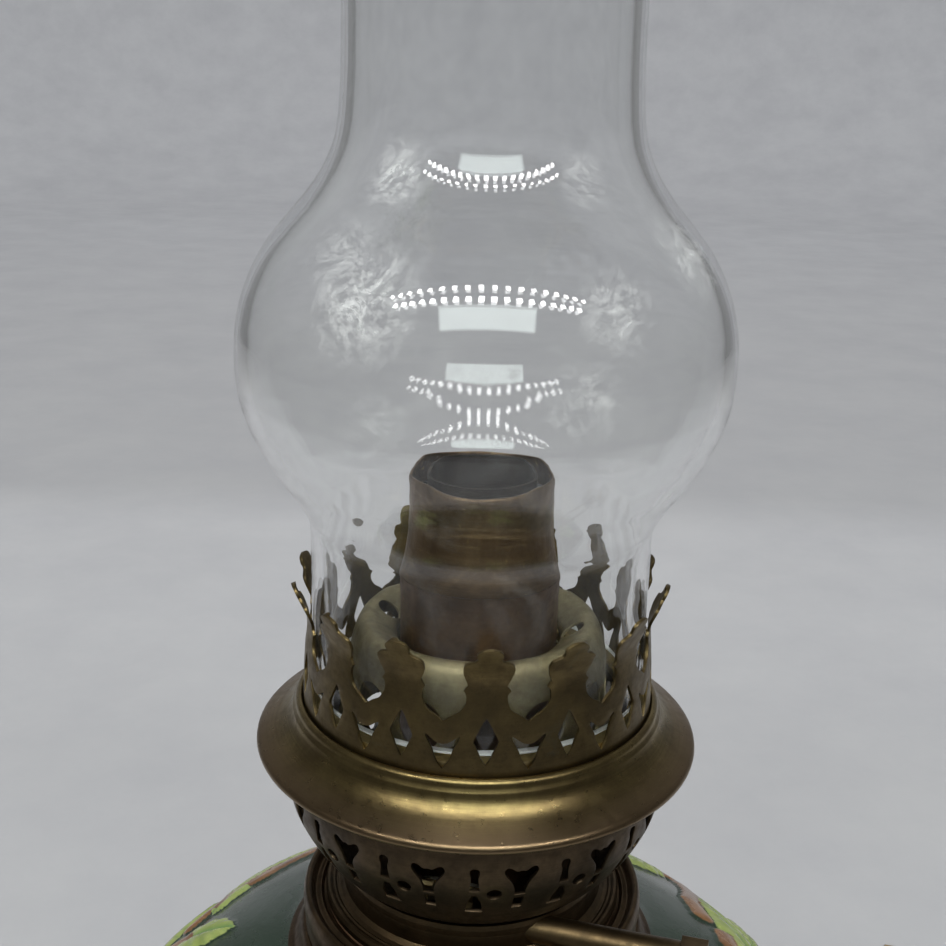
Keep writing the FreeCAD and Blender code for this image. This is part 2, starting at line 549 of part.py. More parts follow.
# tie rod with its washers and nuts, from the weight to inside the body
rod = Part.makeCylinder(TIE_R, 62.0 - 1.0, Vector(0, 0, 1.0))
export(rod, "tie_rod")
w_lo = Part.makeCylinder(8.0, 1.2, Vector(0, 0, 3.75)).cut(Part.makeCylinder(2.7, 5, Vector(0, 0, 2)))
w_hi = Part.makeCylinder(9.5, 1.2, Vector(0, 0, 56.55)).cut(Part.makeCylinder(2.7, 5, Vector(0, 0, 55)))
export(Part.makeCompound([w_lo, w_hi]), "tie_washers")


def hex_nut(af, z0, z1, r):
    rr = af / math.sqrt(3)
    pts = [Vector(rr * math.cos(math.radians(60 * i)), rr * math.sin(math.radians(60 * i)), z0) for i in range(6)]
    pts.append(pts[0])
    return Part.Face(Part.makePolygon(pts)).extrude(Vector(0, 0, z1 - z0)).cut(Part.makeCylinder(r, z1 - z0 + 2, Vector(0, 0, z0 - 1)))


export(Part.makeCompound([hex_nut(8.0, 1.2, 3.7, TIE_R + 0.01), hex_nut(8.0, 57.8, 61.2, TIE_R + 0.01)]), "tie_nuts")
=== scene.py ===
import bpy
import math
import random
from mathutils import Vector, Matrix, noise
from mathutils.geometry import delaunay_2d_cdt


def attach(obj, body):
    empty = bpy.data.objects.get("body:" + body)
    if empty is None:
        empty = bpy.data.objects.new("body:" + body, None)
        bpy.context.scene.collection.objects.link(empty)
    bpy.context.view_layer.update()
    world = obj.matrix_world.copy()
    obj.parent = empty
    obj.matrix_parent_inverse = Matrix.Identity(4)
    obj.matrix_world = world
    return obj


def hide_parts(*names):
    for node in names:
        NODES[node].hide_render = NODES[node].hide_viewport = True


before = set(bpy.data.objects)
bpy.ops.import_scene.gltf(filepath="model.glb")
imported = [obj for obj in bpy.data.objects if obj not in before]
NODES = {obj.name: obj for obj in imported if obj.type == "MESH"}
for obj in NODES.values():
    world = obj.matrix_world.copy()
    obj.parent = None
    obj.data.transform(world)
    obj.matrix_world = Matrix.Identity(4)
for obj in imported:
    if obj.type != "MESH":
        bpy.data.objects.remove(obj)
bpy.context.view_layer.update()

MM = 0.001
ZR = 0.215                 # height of the shade ring edge above the table
RNG = random.Random(14)


# ------------------------------------------------------------------ helpers
def radial(az):
    a = math.radians(az)
    return Vector((math.sin(a), -math.cos(a), 0.0))


def polar(r, az, h, base=ZR):
    a = math.radians(az)
    return Vector((r * MM * math.sin(a), -r * MM * math.cos(a), base + h * MM))


def lerp(x, xs, ys):
    if x <= xs[0]:
        return ys[0]
    for i in range(1, len(xs)):
        if x <= xs[i]:
            f = (x - xs[i - 1]) / (xs[i] - xs[i - 1])
            return ys[i - 1] + f * (ys[i] - ys[i - 1])
    return ys[-1]


def smooth(x, a, b):
    t = min(1.0, max(0.0, (x - a) / (b - a)))
    return t * t * (3 - 2 * t)


def hermite(xs, ys):
    """Monotone cubic through points, for smooth radius profiles."""
    n = len(xs)
    d = [(ys[i + 1] - ys[i]) / (xs[i + 1] - xs[i]) for i in range(n - 1)]
    m = [d[0]] + [0.0 if d[i - 1] * d[i] <= 0 else 2 * d[i - 1] * d[i] / (d[i - 1] + d[i]) for i in range(1, n - 1)] + [d[-1]]

    def f(x):
        if x <= xs[0]:
            return ys[0]
        if x >= xs[-1]:
            return ys[-1]
        i = 0
        while x > xs[i + 1]:
            i += 1
        h = xs[i + 1] - xs[i]
        t = (x - xs[i]) / h
        return ((2 * t ** 3 - 3 * t * t + 1) * ys[i] + (t ** 3 - 2 * t * t + t) * h * m[i] +
                (-2 * t ** 3 + 3 * t * t) * ys[i + 1] + (t ** 3 - t * t) * h * m[i + 1])
    return f


def new_object(name, verts, faces, mat, angle=35.0):
    me = bpy.data.meshes.new(name)
    me.from_pydata([tuple(v) for v in verts], [], faces)
    me.validate()
    me.update()
    ob = bpy.data.objects.new(name, me)
    bpy.context.scene.collection.objects.link(ob)
    if mat is not None:
        me.materials.append(mat)
    me.shade_smooth()
    me.set_sharp_from_angle(angle=math.radians(angle))
    return ob


def apply_mods(ob):
    dg = bpy.context.evaluated_depsgraph_get()
    ev = ob.evaluated_get(dg)
    me = bpy.data.meshes.new_from_object(ev)
    old = ob.data
    ob.modifiers.clear()
    ob.data = me
    bpy.data.meshes.remove(old)
    return ob


def round_outline(pts, corner=38.0, step=0.5, fillet=0.12):
    """Closed (r, h) outline: smooth runs become curves, corners get a small round."""
    n = len(pts)
    isc = []
    for i in range(n):
        a, b, c = pts[i - 1], pts[i], pts[(i + 1) % n]
        u = (b[0] - a[0], b[1] - a[1])
        v = (c[0] - b[0], c[1] - b[1])
        lu, lv = math.hypot(*u), math.hypot(*v)
        cosv = (u[0] * v[0] + u[1] * v[1]) / (lu * lv + 1e-12)
        turn = math.degrees(math.acos(max(-1, min(1, cosv))))
        isc.append(turn > corner)
    out = []
    for i in range(n):
        p0, p1, p2, p3 = pts[i - 1], pts[i], pts[(i + 1) % n], pts[(i + 2) % n]
        L = math.hypot(p2[0] - p1[0], p2[1] - p1[1])
        a0 = p1 if isc[i] else p0
        a3 = p2 if isc[(i + 1) % n] else p3
        k = max(1, min(14, int(math.ceil(L / step))))
        straight = isc[i] and isc[(i + 1) % n]
        f = min(fillet, L * 0.35)
        for j in range(k):
            t = j / k
            if straight or L > 12.0:
                q = (p1[0] + (p2[0] - p1[0]) * t, p1[1] + (p2[1] - p1[1]) * t)
            else:
                # centripetal-ish Catmull-Rom with length-scaled tangents
                l01 = math.hypot(p1[0] - a0[0], p1[1] - a0[1]) or L
                l23 = math.hypot(a3[0] - p2[0], a3[1] - p2[1]) or L
                if a0 is p1:
                    m1 = ((p2[0] - p1[0]), (p2[1] - p1[1]))
                else:
                    m1 = tuple(L * ((p1[c] - a0[c]) / l01 * L + (p2[c] - p1[c]) / L * l01) / (l01 + L) for c in (0, 1))
                if a3 is p2:
                    m2 = ((p2[0] - p1[0]), (p2[1] - p1[1]))
                else:
                    m2 = tuple(L * ((p2[c] - p1[c]) / L * l23 + (a3[c] - p2[c]) / l23 * L) / (l23 + L) for c in (0, 1))
                q = tuple((2 * t ** 3 - 3 * t * t + 1) * p1[c] + (t ** 3 - 2 * t * t + t) * m1[c] +
                          (-2 * t ** 3 + 3 * t * t) * p2[c] + (t ** 3 - t * t) * m2[c] for c in (0, 1))
            if j == 0 and isc[i]:
                # two points either side of the corner
                u = (p0[0] - p1[0], p0[1] - p1[1])
                lu = math.hypot(*u) or 1
                fu = min(fillet, lu * 0.35)
                out.append((p1[0] + u[0] / lu * fu, p1[1] + u[1] / lu * fu))
                out.append((p1[0] + (u[0] / lu * fu + (p2[0] - p1[0]) / L * f) * 0.2929,
                            p1[1] + (u[1] / lu * fu + (p2[1] - p1[1]) / L * f) * 0.2929))
                out.append((p1[0] + (p2[0] - p1[0]) / L * f, p1[1] + (p2[1] - p1[1]) / L * f))
            else:
                out.append(q)
    return out


def lathe(name, pts, mat, seg=224, base=ZR, wobble=0.0, wob_scale=0.05, fillet=0.12, corner=38.0, step=0.5, angle=50.0, deform=None):
    """Turned piece from a closed (r, h) outline in mm."""
    prof = round_outline(pts, fillet=fillet, corner=corner, step=step)
    # orientation: counter-clockwise in (r, h) gives outward normals with this winding
    area = sum(prof[i - 1][0] * prof[i][1] - prof[i][0] * prof[i - 1][1] for i in range(len(prof)))
    if area < 0:
        prof = prof[::-1]
    n = len(prof)
    verts, faces = [], []
    for s in range(seg):
        az = 360.0 * s / seg
        for (r, h) in prof:
            if wobble:
                d = noise.noise(Vector((math.sin(math.radians(az)) * r * wob_scale, math.cos(math.radians(az)) * r * wob_scale, h * wob_scale * 1.3)) + Vector((7.1, 3.3, 1.9)))
                r2 = r + d * wobble
                h2 = h + wobble * 0.4 * noise.noise(Vector((math.sin(math.radians(az)) * r * wob_scale, math.cos(math.radians(az)) * r * wob_scale, 31.7)))
            else:
                r2, h2 = r, h
            p = polar(max(r2, 0.0), az, h2, base)
            if deform:
                p = deform(p, az, r, h)
            verts.append(p)
    for s in range(seg):
        s2 = (s + 1) % seg
        for i in range(n):
            j = (i + 1) % n
            if prof[i][0] < 1e-6 and prof[j][0] < 1e-6:
                continue
            faces.append((s * n + i, s2 * n + i, s2 * n + j, s * n + j))
    ob = new_object(name, verts, faces, mat, angle)
    return ob


def in_poly(x, y, poly):
    c = False
    n = len(poly)
    for i in range(n):
        x1, y1 = poly[i - 1]
        x2, y2 = poly[i]
        if (y1 > y) != (y2 > y) and x < (x2 - x1) * (y - y1) / (y2 - y1) + x1:
            c = not c
    return c


def seg_dist(px, py, a, b):
    dx, dy = b[0] - a[0], b[1] - a[1]
    L = dx * dx + dy * dy
    t = 0 if L == 0 else max(0, min(1, ((px - a[0]) * dx + (py - a[1]) * dy) / L))
    return math.hypot(px - a[0] - t * dx, py - a[1] - t * dy)


def refine(poly, step, closed=True):
    out = []
    n = len(poly)
    for i in range(n if closed else n - 1):
        a, b = poly[i], poly[(i + 1) % n]
        k = max(1, int(math.ceil(math.hypot(b[0] - a[0], b[1] - a[1]) / step)))
        for j in range(k):
            out.append((a[0] + (b[0] - a[0]) * j / k, a[1] + (b[1] - a[1]) * j / k))
    if not closed:
        out.append(poly[-1])
    return out


def curve_run(pts, step=0.35, corner=55.0):
    """Open run of (x, y) points turned into a smooth line that keeps its cusps."""
    n = len(pts)
    isc = [True] * n
    for i in range(1, n - 1):
        a, b, c = pts[i - 1], pts[i], pts[i + 1]
        u = (b[0] - a[0], b[1] - a[1])
        v = (c[0] - b[0], c[1] - b[1])
        cosv = (u[0] * v[0] + u[1] * v[1]) / (math.hypot(*u) * math.hypot(*v) + 1e-12)
        isc[i] = math.degrees(math.acos(max(-1, min(1, cosv)))) > corner
    out = []
    for i in range(n - 1):
        p1, p2 = pts[i], pts[i + 1]
        p0 = p1 if isc[i] else pts[i - 1]
        p3 = p2 if isc[i + 1] else pts[i + 2]
        L = math.hypot(p2[0] - p1[0], p2[1] - p1[1])
        k = max(1, int(math.ceil(L / step)))
        l01 = math.hypot(p1[0] - p0[0], p1[1] - p0[1]) or L
        l23 = math.hypot(p3[0] - p2[0], p3[1] - p2[1]) or L
        m1 = (p2[0] - p1[0], p2[1] - p1[1]) if p0 is p1 else tuple(L * ((p1[c] - p0[c]) / l01 * L + (p2[c] - p1[c]) / L * l01) / (l01 + L) for c in (0, 1))
        m2 = (p2[0] - p1[0], p2[1] - p1[1]) if p3 is p2 else tuple(L * ((p2[c] - p1[c]) / L * l23 + (p3[c] - p2[c]) / l23 * L) / (l23 + L) for c in (0, 1))
        for j in range(k):
            t = j / k
            out.append(tuple((2 * t ** 3 - 3 * t * t + 1) * p1[c] + (t ** 3 - 2 * t * t + t) * m1[c] +
                             (-2 * t ** 3 + 3 * t * t) * p2[c] + (t ** 3 - t * t) * m2[c] for c in (0, 1)))
    out.append(pts[-1])
    return out


def cell_mesh(boundary, holes, grid):
    """Triangles of a flat cell with holes; coordinates in mm."""
    loops = [boundary] + holes
    verts, edges = [], []
    for lp in loops:
        o = len(verts)
        verts += lp
        edges += [(o + i, o + (i + 1) % len(lp)) for i in range(len(lp))]
    xs = [p[0] for p in boundary]
    ys = [p[1] for p in boundary]
    y = min(ys) + grid / 2
    row = 0
    while y < max(ys):
        x = min(xs) + (grid / 2 if row % 2 else 0)
        while x < max(xs):
            if in_poly(x, y, boundary) and not any(in_poly(x, y, h) for h in holes):
                if min(seg_dist(x, y, lp[i - 1], lp[i]) for lp in loops for i in range(len(lp))) > grid * 0.45:
                    verts.append((x, y))
            x += grid
        y += grid * 0.87
        row += 1
    vo, eo, fo, _, _, _ = delaunay_2d_cdt([Vector(v) for v in verts], edges, [], 0, 1e-7)
    tris = []
    for f in fo:
        if len(f) != 3:
            continue
        cx = sum(vo[i][0] for i in f) / 3
        cy = sum(vo[i][1] for i in f) / 3
        if in_poly(cx, cy, boundary) and not any(in_poly(cx, cy, h) for h in holes):
            a, b, c = (vo[i] for i in f)
            if (b[0] - a[0]) * (c[1] - a[1]) - (b[1] - a[1]) * (c[0] - a[0]) < 0:
                f = f[::-1]
            tris.append(tuple(f))
    return [tuple(v) for v in vo], tris


def pierced(name, cells, place, mat, thick, bevel=0.07, offset=-1.0, angle=40.0):
    """cells: list of (azimuth, (verts, tris)); place(az0, x, y) -> position in metres."""
    verts, faces, seen = [], [], {}
    for az0, (vs, ts), k in cells:
        idx = []
        for (x, y) in vs:
            p = place(az0, x, y, k)
            key = (round(p.x * 2e5), round(p.y * 2e5), round(p.z * 2e5))
            if key not in seen:
                seen[key] = len(verts)
                verts.append(p)
            idx.append(seen[key])
        for t in ts:
            f = tuple(idx[i] for i in t)
            if len(set(f)) == 3:
                faces.append(f)
    ob = new_object(name, verts, faces, mat, angle)
    so = ob.modifiers.new("thick", "SOLIDIFY")
    so.thickness = thick * MM
    so.offset = offset
    so.use_even_offset = True
    if bevel:
        bv = ob.modifiers.new("edge", "BEVEL")
        bv.width = bevel * MM
        bv.segments = 2
        bv.limit_method = "ANGLE"
        bv.angle_limit = math.radians(50)
    apply_mods(ob)
    ob.data.shade_smooth()
    ob.data.set_sharp_from_angle(angle=math.radians(angle))
    return ob


# ------------------------------------------------------------------ materials
def nodes_of(name):
    m = bpy.data.materials.new(name)
    m.use_nodes = True
    nt = m.node_tree
    nt.nodes.clear()
    out = nt.nodes.new("ShaderNodeOutputMaterial")
    return m, nt, out


def add(nt, kind, **kw):
    n = nt.nodes.new(kind)
    for k, v in kw.items():
        setattr(n, k, v)
    return n


def ramp(nt, fac, stops, interp="LINEAR"):
    n = nt.nodes.new("ShaderNodeValToRGB")
    n.color_ramp.interpolation = interp
    e = n.color_ramp.elements
    while len(e) < len(stops):
        e.new(0.5)
    for i, (p, c) in enumerate(stops):
        e[i].position = p
        e[i].color = (c[0], c[1], c[2], 1.0) if hasattr(c, "__len__") else (c, c, c, 1.0)
    nt.links.new(fac, n.inputs[0])
    return n.outputs[0]


def math_node(nt, op, a, b=None, clamp=False):
    n = nt.nodes.new("ShaderNodeMath")
    n.operation = op
    n.use_clamp = clamp
    for i, v in enumerate((a, b)):
        if v is None:
            continue
        if hasattr(v, "is_output"):
            nt.links.new(v, n.inputs[i])
        else:
            n.inputs[i].default_value = v
    return n.outputs[0]


def mix_col(nt, fac, a, b, blend="MIX"):
    n = nt.nodes.new("ShaderNodeMix")
    n.data_type = "RGBA"
    n.blend_type = blend
    for sock, v in ((n.inputs[0], fac), (n.inputs[6], a), (n.inputs[7], b)):
        if hasattr(v, "is_output"):
            nt.links.new(v, sock)
        elif hasattr(v, "__len__"):
            sock.default_value = (v[0], v[1], v[2], 1.0)
        else:
            sock.default_value = v
    return n.outputs[2]


def noise_tex(nt, vec, scale, detail=4.0, rough=0.55, dist=0.0):
    n = nt.nodes.new("ShaderNodeTexNoise")
    n.inputs["Scale"].default_value = scale
    n.inputs["Detail"].default_value = detail
    n.inputs["Roughness"].default_value = rough
    n.inputs["Distortion"].default_value = dist
    if vec is not None:
        nt.links.new(vec, n.inputs["Vector"])
    return n.outputs[0]


def turned_coords(nt):
    """Object position, and (radius, height) coordinates for marks left by turning."""
    tc = nt.nodes.new("ShaderNodeTexCoord")
    sep = nt.nodes.new("ShaderNodeSeparateXYZ")
    nt.links.new(tc.outputs["Object"], sep.inputs[0])
    xx = math_node(nt, "MULTIPLY", sep.outputs[0], sep.outputs[0])
    yy = math_node(nt, "MULTIPLY", sep.outputs[1], sep.outputs[1])
    rr = math_node(nt, "SQRT", math_node(nt, "ADD", xx, yy))
    ang = math_node(nt, "ARCTAN2", sep.outputs[0], sep.outputs[1])
    comb = nt.nodes.new("ShaderNodeCombineXYZ")
    nt.links.new(math_node(nt, "MULTIPLY", rr, 1000.0), comb.inputs[0])
    nt.links.new(math_node(nt, "MULTIPLY", sep.outputs[2], 1000.0), comb.inputs[1])
    nt.links.new(math_node(nt, "MULTIPLY", ang, 0.35), comb.inputs[2])
    return tc.outputs["Object"], comb.outputs[0], sep.outputs[2], rr, sep


def brass(name, light, dark, rough=(0.32, 0.55), spin=0.25, patina=0.5, patina_col=(0.03, 0.022, 0.014),
          verdigris=0.0, blotch=140.0, metallic=1.0, bump=0.00003, zshade=None, zshade_col=None, gold=0.0,
          edge_col=(0.75, 0.48, 0.26), edge=0.0, spin_scale=3.0):
    m, nt, out = nodes_of(name)
    obj, turned, zc, rr, sep = turned_coords(nt)
    b = nt.nodes.new("ShaderNodeBsdfPrincipled")
    big = noise_tex(nt, obj, blotch, 5, 0.6, 0.4)
    mid = noise_tex(nt, obj, blotch * 4.5, 6, 0.65)
    fine = noise_tex(nt, obj, 3200.0, 3, 0.6)
    lines = noise_tex(nt, turned, spin_scale, 3, 0.7)
    base = mix_col(nt, ramp(nt, big, [(0.36, 0.0), (0.64, 1.0)]), dark, light)
    base = mix_col(nt, math_node(nt, "MULTIPLY", ramp(nt, mid, [(0.42, 0.0), (0.70, 1.0)]), patina), base, patina_col)
    base = mix_col(nt, math_node(nt, "MULTIPLY", ramp(nt, lines, [(0.40, 0.0), (0.66, 1.0)]), spin * 0.9), base, tuple(0.55 * c for c in dark))
    base = mix_col(nt, math_node(nt, "MULTIPLY", ramp(nt, fine, [(0.60, 0.0), (0.74, 1.0)]), 0.35), base, tuple(0.35 * c for c in dark))
    if verdigris:
        vg = noise_tex(nt, obj, blotch * 1.7, 7, 0.7, 0.8)
        base = mix_col(nt, math_node(nt, "MULTIPLY", ramp(nt, vg, [(0.58, 0.0), (0.70, 1.0)]), verdigris), base, (0.11, 0.16, 0.15))
    if gold:
        gf = noise_tex(nt, obj, 900.0, 5, 0.7, 0.6)
        base = mix_col(nt, math_node(nt, "MULTIPLY", ramp(nt, gf, [(0.63, 0.0), (0.69, 1.0)]), gold), base, (0.55, 0.38, 0.14))
    # painted shade: below a height band the colour fades to a darker, browner tint, standing in for the shade on the
    # low outer flat
    if zshade:
        t = math_node(nt, "MULTIPLY", math_node(nt, "SUBTRACT", zc, zshade[0]), 1.0 / (zshade[1] - zshade[0]), True)
        n2 = math_node(nt, "ADD", t, math_node(nt, "MULTIPLY", math_node(nt, "SUBTRACT", big, 0.5), 0.8), True)
        base = mix_col(nt, n2, base, zshade_col)
    if edge:
        geo = nt.nodes.new("ShaderNodeNewGeometry")
        pe = ramp(nt, geo.outputs["Pointiness"], [(0.53, 0.0), (0.60, 1.0)])
        base = mix_col(nt, math_node(nt, "MULTIPLY", pe, edge), base, edge_col)
    nt.links.new(base, b.inputs["Base Color"])
    b.inputs["Metallic"].default_value = metallic
    r1 = ramp(nt, mid, [(0.30, rough[0]), (0.72, rough[1])])
    r2 = math_node(nt, "ADD", r1, math_node(nt, "MULTIPLY", math_node(nt, "SUBTRACT", lines, 0.5), 0.16))
    nt.links.new(r2, b.inputs["Roughness"])
    hgt = math_node(nt, "ADD", math_node(nt, "MULTIPLY", lines, spin), math_node(nt, "MULTIPLY", mid, 0.5))
    hgt = math_node(nt, "ADD", hgt, math_node(nt, "MULTIPLY", fine, 0.35))
    bp = nt.nodes.new("ShaderNodeBump")
    bp.inputs["Strength"].default_value = 0.55
    bp.inputs["Distance"].default_value = bump
    nt.links.new(hgt, bp.inputs["Height"])
    nt.links.new(bp.outputs[0], b.inputs["Normal"])
    nt.links.new(b.outputs[0], out.inputs[0])
    return m


def glass_mat(name, ground=False):
    m, nt, out = nodes_of(name)
    tc = nt.nodes.new("ShaderNodeTexCoord")
    g = nt.nodes.new("ShaderNodeBsdfPrincipled")
    g.inputs["Base Color"].default_value = (0.994, 0.998, 0.996, 1) if not ground else (0.88, 0.96, 0.92, 1)
    g.inputs["IOR"].default_value = 1.5
    g.inputs["Transmission Weight"].default_value = 1.0
    wav = noise_tex(nt, tc.outputs["Object"], 22.0, 1, 0.4)
    bp = nt.nodes.new("ShaderNodeBump")
    bp.inputs["Strength"].default_value = 0.22
    bp.inputs["Distance"].default_value = 0.00002
    if ground:
        gn = noise_tex(nt, tc.outputs["Object"], 1500.0, 3, 0.7)
        g.inputs["Roughness"].default_value = 0.35
        bp.inputs["Strength"].default_value = 0.8
        nt.links.new(gn, bp.inputs["Height"])
    else:
        g.inputs["Roughness"].default_value = 0.0
        nt.links.new(wav, bp.inputs["Height"])
    nt.links.new(bp.outputs[0], g.inputs["Normal"])
    # thin film of dust and finger marks
    df = nt.nodes.new("ShaderNodeBsdfDiffuse")
    df.inputs["Color"].default_value = (0.90, 0.91, 0.89, 1)
    sm2 = noise_tex(nt, tc.outputs["Object"], 42.0, 7, 0.70, 2.2)
    sm3 = noise_tex(nt, tc.outputs["Object"], 13.0, 2, 0.5)
    patch = math_node(nt, "MULTIPLY", ramp(nt, sm2, [(0.52, 0.0), (0.80, 1.0)]), ramp(nt, sm3, [(0.44, 0.05), (0.62, 1.0)]))
    streak = noise_tex(nt, tc.outputs["Object"], 160.0, 7, 0.72, 3.2)
    marks = 0.0
    for (r, az, h, rad, amt) in () if ground else ((35.5, -27.6, 75.8, 0.0095, 1.0), (33.0, -37.4, 81.5, 0.0075, 0.6), (24.0, -30.8, 90.3, 0.0055, 1.0),
                                                   (35.5, 28.5, 75.8, 0.0070, 0.8), (24.0, 31.0, 90.0, 0.0045, 0.7), (36.5, 19.6, 63.8, 0.0065, 0.6),
                                                   (36.8, -22.0, 60.0, 0.0060, 0.35), (31.0, 60.0, 80.0, 0.0080, 0.5), (33.0, 205.0, 79.0, 0.0090, 0.5)):
        vd = nt.nodes.new("ShaderNodeVectorMath")
        vd.operation = "DISTANCE"
        nt.links.new(tc.outputs["Object"], vd.inputs[0])
        vd.inputs[1].default_value = polar(r, az, h)
        near = math_node(nt, "MULTIPLY", math_node(nt, "SUBTRACT", rad, vd.outputs["Value"]), amt / rad)
        marks = math_node(nt, "MAXIMUM", near, marks)
    if not ground:
        marks = math_node(nt, "MULTIPLY", marks, ramp(nt, streak, [(0.46, 0.0), (0.66, 1.0)]))
        patch = math_node(nt, "ADD", patch, math_node(nt, "MULTIPLY", marks, 11.0))
    dm = math_node(nt, "ADD", math_node(nt, "MULTIPLY", patch, 0.06), 0.002) if not ground else math_node(nt, "ADD", math_node(nt, "MULTIPLY", patch, 0.2), 0.30)
    mx = nt.nodes.new("ShaderNodeMixShader")
    nt.links.new(dm, mx.inputs[0])
    nt.links.new(g.outputs[0], mx.inputs[1])
    nt.links.new(df.outputs[0], mx.inputs[2])
    tr = nt.nodes.new("ShaderNodeBsdfTransparent")
    tr.inputs["Color"].default_value = (0.94, 0.95, 0.945, 1)
    lp = nt.nodes.new("ShaderNodeLightPath")
    mx2 = nt.nodes.new("ShaderNodeMixShader")
    nt.links.new(lp.outputs["Is Shadow Ray"], mx2.inputs[0])
    nt.links.new(mx.outputs[0], mx2.inputs[1])
    nt.links.new(tr.outputs[0], mx2.inputs[2])
    nt.links.new(mx2.outputs[0], out.inputs[0])
    return m


def glaze_mat(name):
    m, nt, out = nodes_of(name)
    tc = nt.nodes.new("ShaderNodeTexCoord")
    b = nt.nodes.new("ShaderNodeBsdfPrincipled")
    big = noise_tex(nt, tc.outputs["Object"], 22.0, 5, 0.6, 0.5)
    run = noise_tex(nt, tc.outputs["Object"], 120.0, 5, 0.6, 0.3)
    speck = noise_tex(nt, tc.outputs["Object"], 700.0, 4, 0.65)
    base = mix_col(nt, ramp(nt, big, [(0.35, 0.0), (0.68, 1.0)]), (0.012, 0.026, 0.014), (0.021, 0.036, 0.022))
    base = mix_col(nt, math_node(nt, "MULTIPLY", ramp(nt, speck, [(0.60, 0.0), (0.72, 1.0)]), 0.5), base, (0.004, 0.009, 0.007))
    at = nt.nodes.new("ShaderNodeAttribute")
    at.attribute_name = "leaf"
    at2 = nt.nodes.new("ShaderNodeAttribute")
    at2.attribute_name = "stem"
    at3 = nt.nodes.new("ShaderNodeAttribute")
    at3.attribute_name = "vein"
    lf = ramp(nt, math_node(nt, "ADD", at.outputs["Fac"], math_node(nt, "MULTIPLY", math_node(nt, "SUBTRACT", run, 0.5), 0.35)), [(0.30, 0.0), (0.62, 1.0)])
    lcol = mix_col(nt, ramp(nt, run, [(0.30, 0.0), (0.70, 1.0)]), (0.19, 0.24, 0.06), (0.32, 0.37, 0.12))
    lcol = mix_col(nt, at3.outputs["Fac"], lcol, (0.10, 0.20, 0.06))
    base = mix_col(nt, lf, base, lcol)
    scol = mix_col(nt, ramp(nt, run, [(0.3, 0.0), (0.7, 1.0)]), (0.10, 0.045, 0.018), (0.24, 0.12, 0.05))
    base = mix_col(nt, ramp(nt, at2.outputs["Fac"], [(0.3, 0.0), (0.6, 1.0)]), base, scol)
    nt.links.new(base, b.inputs["Base Color"])
    nt.links.new(ramp(nt, run, [(0.3, 0.20), (0.75, 0.34)]), b.inputs["Roughness"])
    b.inputs["Coat Weight"].default_value = 0.25
    b.inputs["Coat Roughness"].default_value = 0.12
    bp = nt.nodes.new("ShaderNodeBump")
    bp.inputs["Strength"].default_value = 0.35
    bp.inputs["Distance"].default_value = 0.00035
    nt.links.new(math_node(nt, "ADD", run, math_node(nt, "MULTIPLY", speck, 0.2)), bp.inputs["Height"])
    nt.links.new(bp.outputs[0], b.inputs["Normal"])
    nt.links.new(b.outputs[0], out.inputs[0])
    return m


def wick_mat(name):
    m, nt, out = nodes_of(name)
    obj, turned, zc, rr, sep = turned_coords(nt)
    b = nt.nodes.new("ShaderNodeBsdfPrincipled")
    ang = math_node(nt, "ARCTAN2", sep.outputs[0], sep.outputs[1])
    warp = math_node(nt, "SINE", math_node(nt, "MULTIPLY", ang, 52.0))
    weft = math_node(nt, "SINE", math_node(nt, "MULTIPLY", zc, 5200.0))
    weave = math_node(nt, "MULTIPLY", warp, weft)
    n1 = noise_tex(nt, obj, 900.0, 5, 0.7)
    n2 = noise_tex(nt, obj, 90.0, 4, 0.6)
    base = mix_col(nt, ramp(nt, n1, [(0.35, 0.0), (0.7, 1.0)]), (0.42, 0.36, 0.27), (0.66, 0.60, 0.49))
    base = mix_col(nt, math_node(nt, "MULTIPLY", ramp(nt, n2, [(0.45, 0.0), (0.7, 1.0)]), 0.5), base, (0.24, 0.17, 0.10))
    t = math_node(nt, "MULTIPLY", math_node(nt, "SUBTRACT", zc, ZR + 0.022), 1.0 / 0.012, True)
    t = math_node(nt, "ADD", t, math_node(nt, "MULTIPLY", math_node(nt, "SUBTRACT", n2, 0.5), 0.5), True)
    base = mix_col(nt, t, base, (0.006, 0.005, 0.004))
    nt.links.new(base, b.inputs["Base Color"])
    b.inputs["Roughness"].default_value = 0.95
    b.inputs["Sheen Weight"].default_value = 0.25
    bp = nt.nodes.new("ShaderNodeBump")
    bp.inputs["Strength"].default_value = 0.8
    bp.inputs["Distance"].default_value = 0.00025
    nt.links.new(math_node(nt, "ADD", weave, n1), bp.inputs["Height"])
    nt.links.new(bp.outputs[0], b.inputs["Normal"])
    nt.links.new(b.outputs[0], out.inputs[0])
    return m


def iron_mat(name, col=(0.05, 0.05, 0.052), metallic=0.6, rough=0.6, rust=0.4):
    m, nt, out = nodes_of(name)
    tc = nt.nodes.new("ShaderNodeTexCoord")
    b = nt.nodes.new("ShaderNodeBsdfPrincipled")
    n1 = noise_tex(nt, tc.outputs["Object"], 260.0, 6, 0.65)
    n2 = noise_tex(nt, tc.outputs["Object"], 60.0, 5, 0.6, 0.6)
    base = mix_col(nt, ramp(nt, n1, [(0.4, 0.0), (0.7, 1.0)]), col, tuple(2.2 * c for c in col))
    base = mix_col(nt, math_node(nt, "MULTIPLY", ramp(nt, n2, [(0.5, 0.0), (0.66, 1.0)]), rust), base, (0.14, 0.055, 0.02))
    nt.links.new(base, b.inputs["Base Color"])
    b.inputs["Metallic"].default_value = metallic
    nt.links.new(ramp(nt, n1, [(0.3, rough - 0.15), (0.7, rough + 0.15)]), b.inputs["Roughness"])
    bp = nt.nodes.new("ShaderNodeBump")
    bp.inputs["Strength"].default_value = 0.6
    bp.inputs["Distance"].default_value = 0.0002
    nt.links.new(n1, bp.inputs["Height"])
    nt.links.new(bp.outputs[0], b.inputs["Normal"])
    nt.links.new(b.outputs[0], out.inputs[0])
    return m


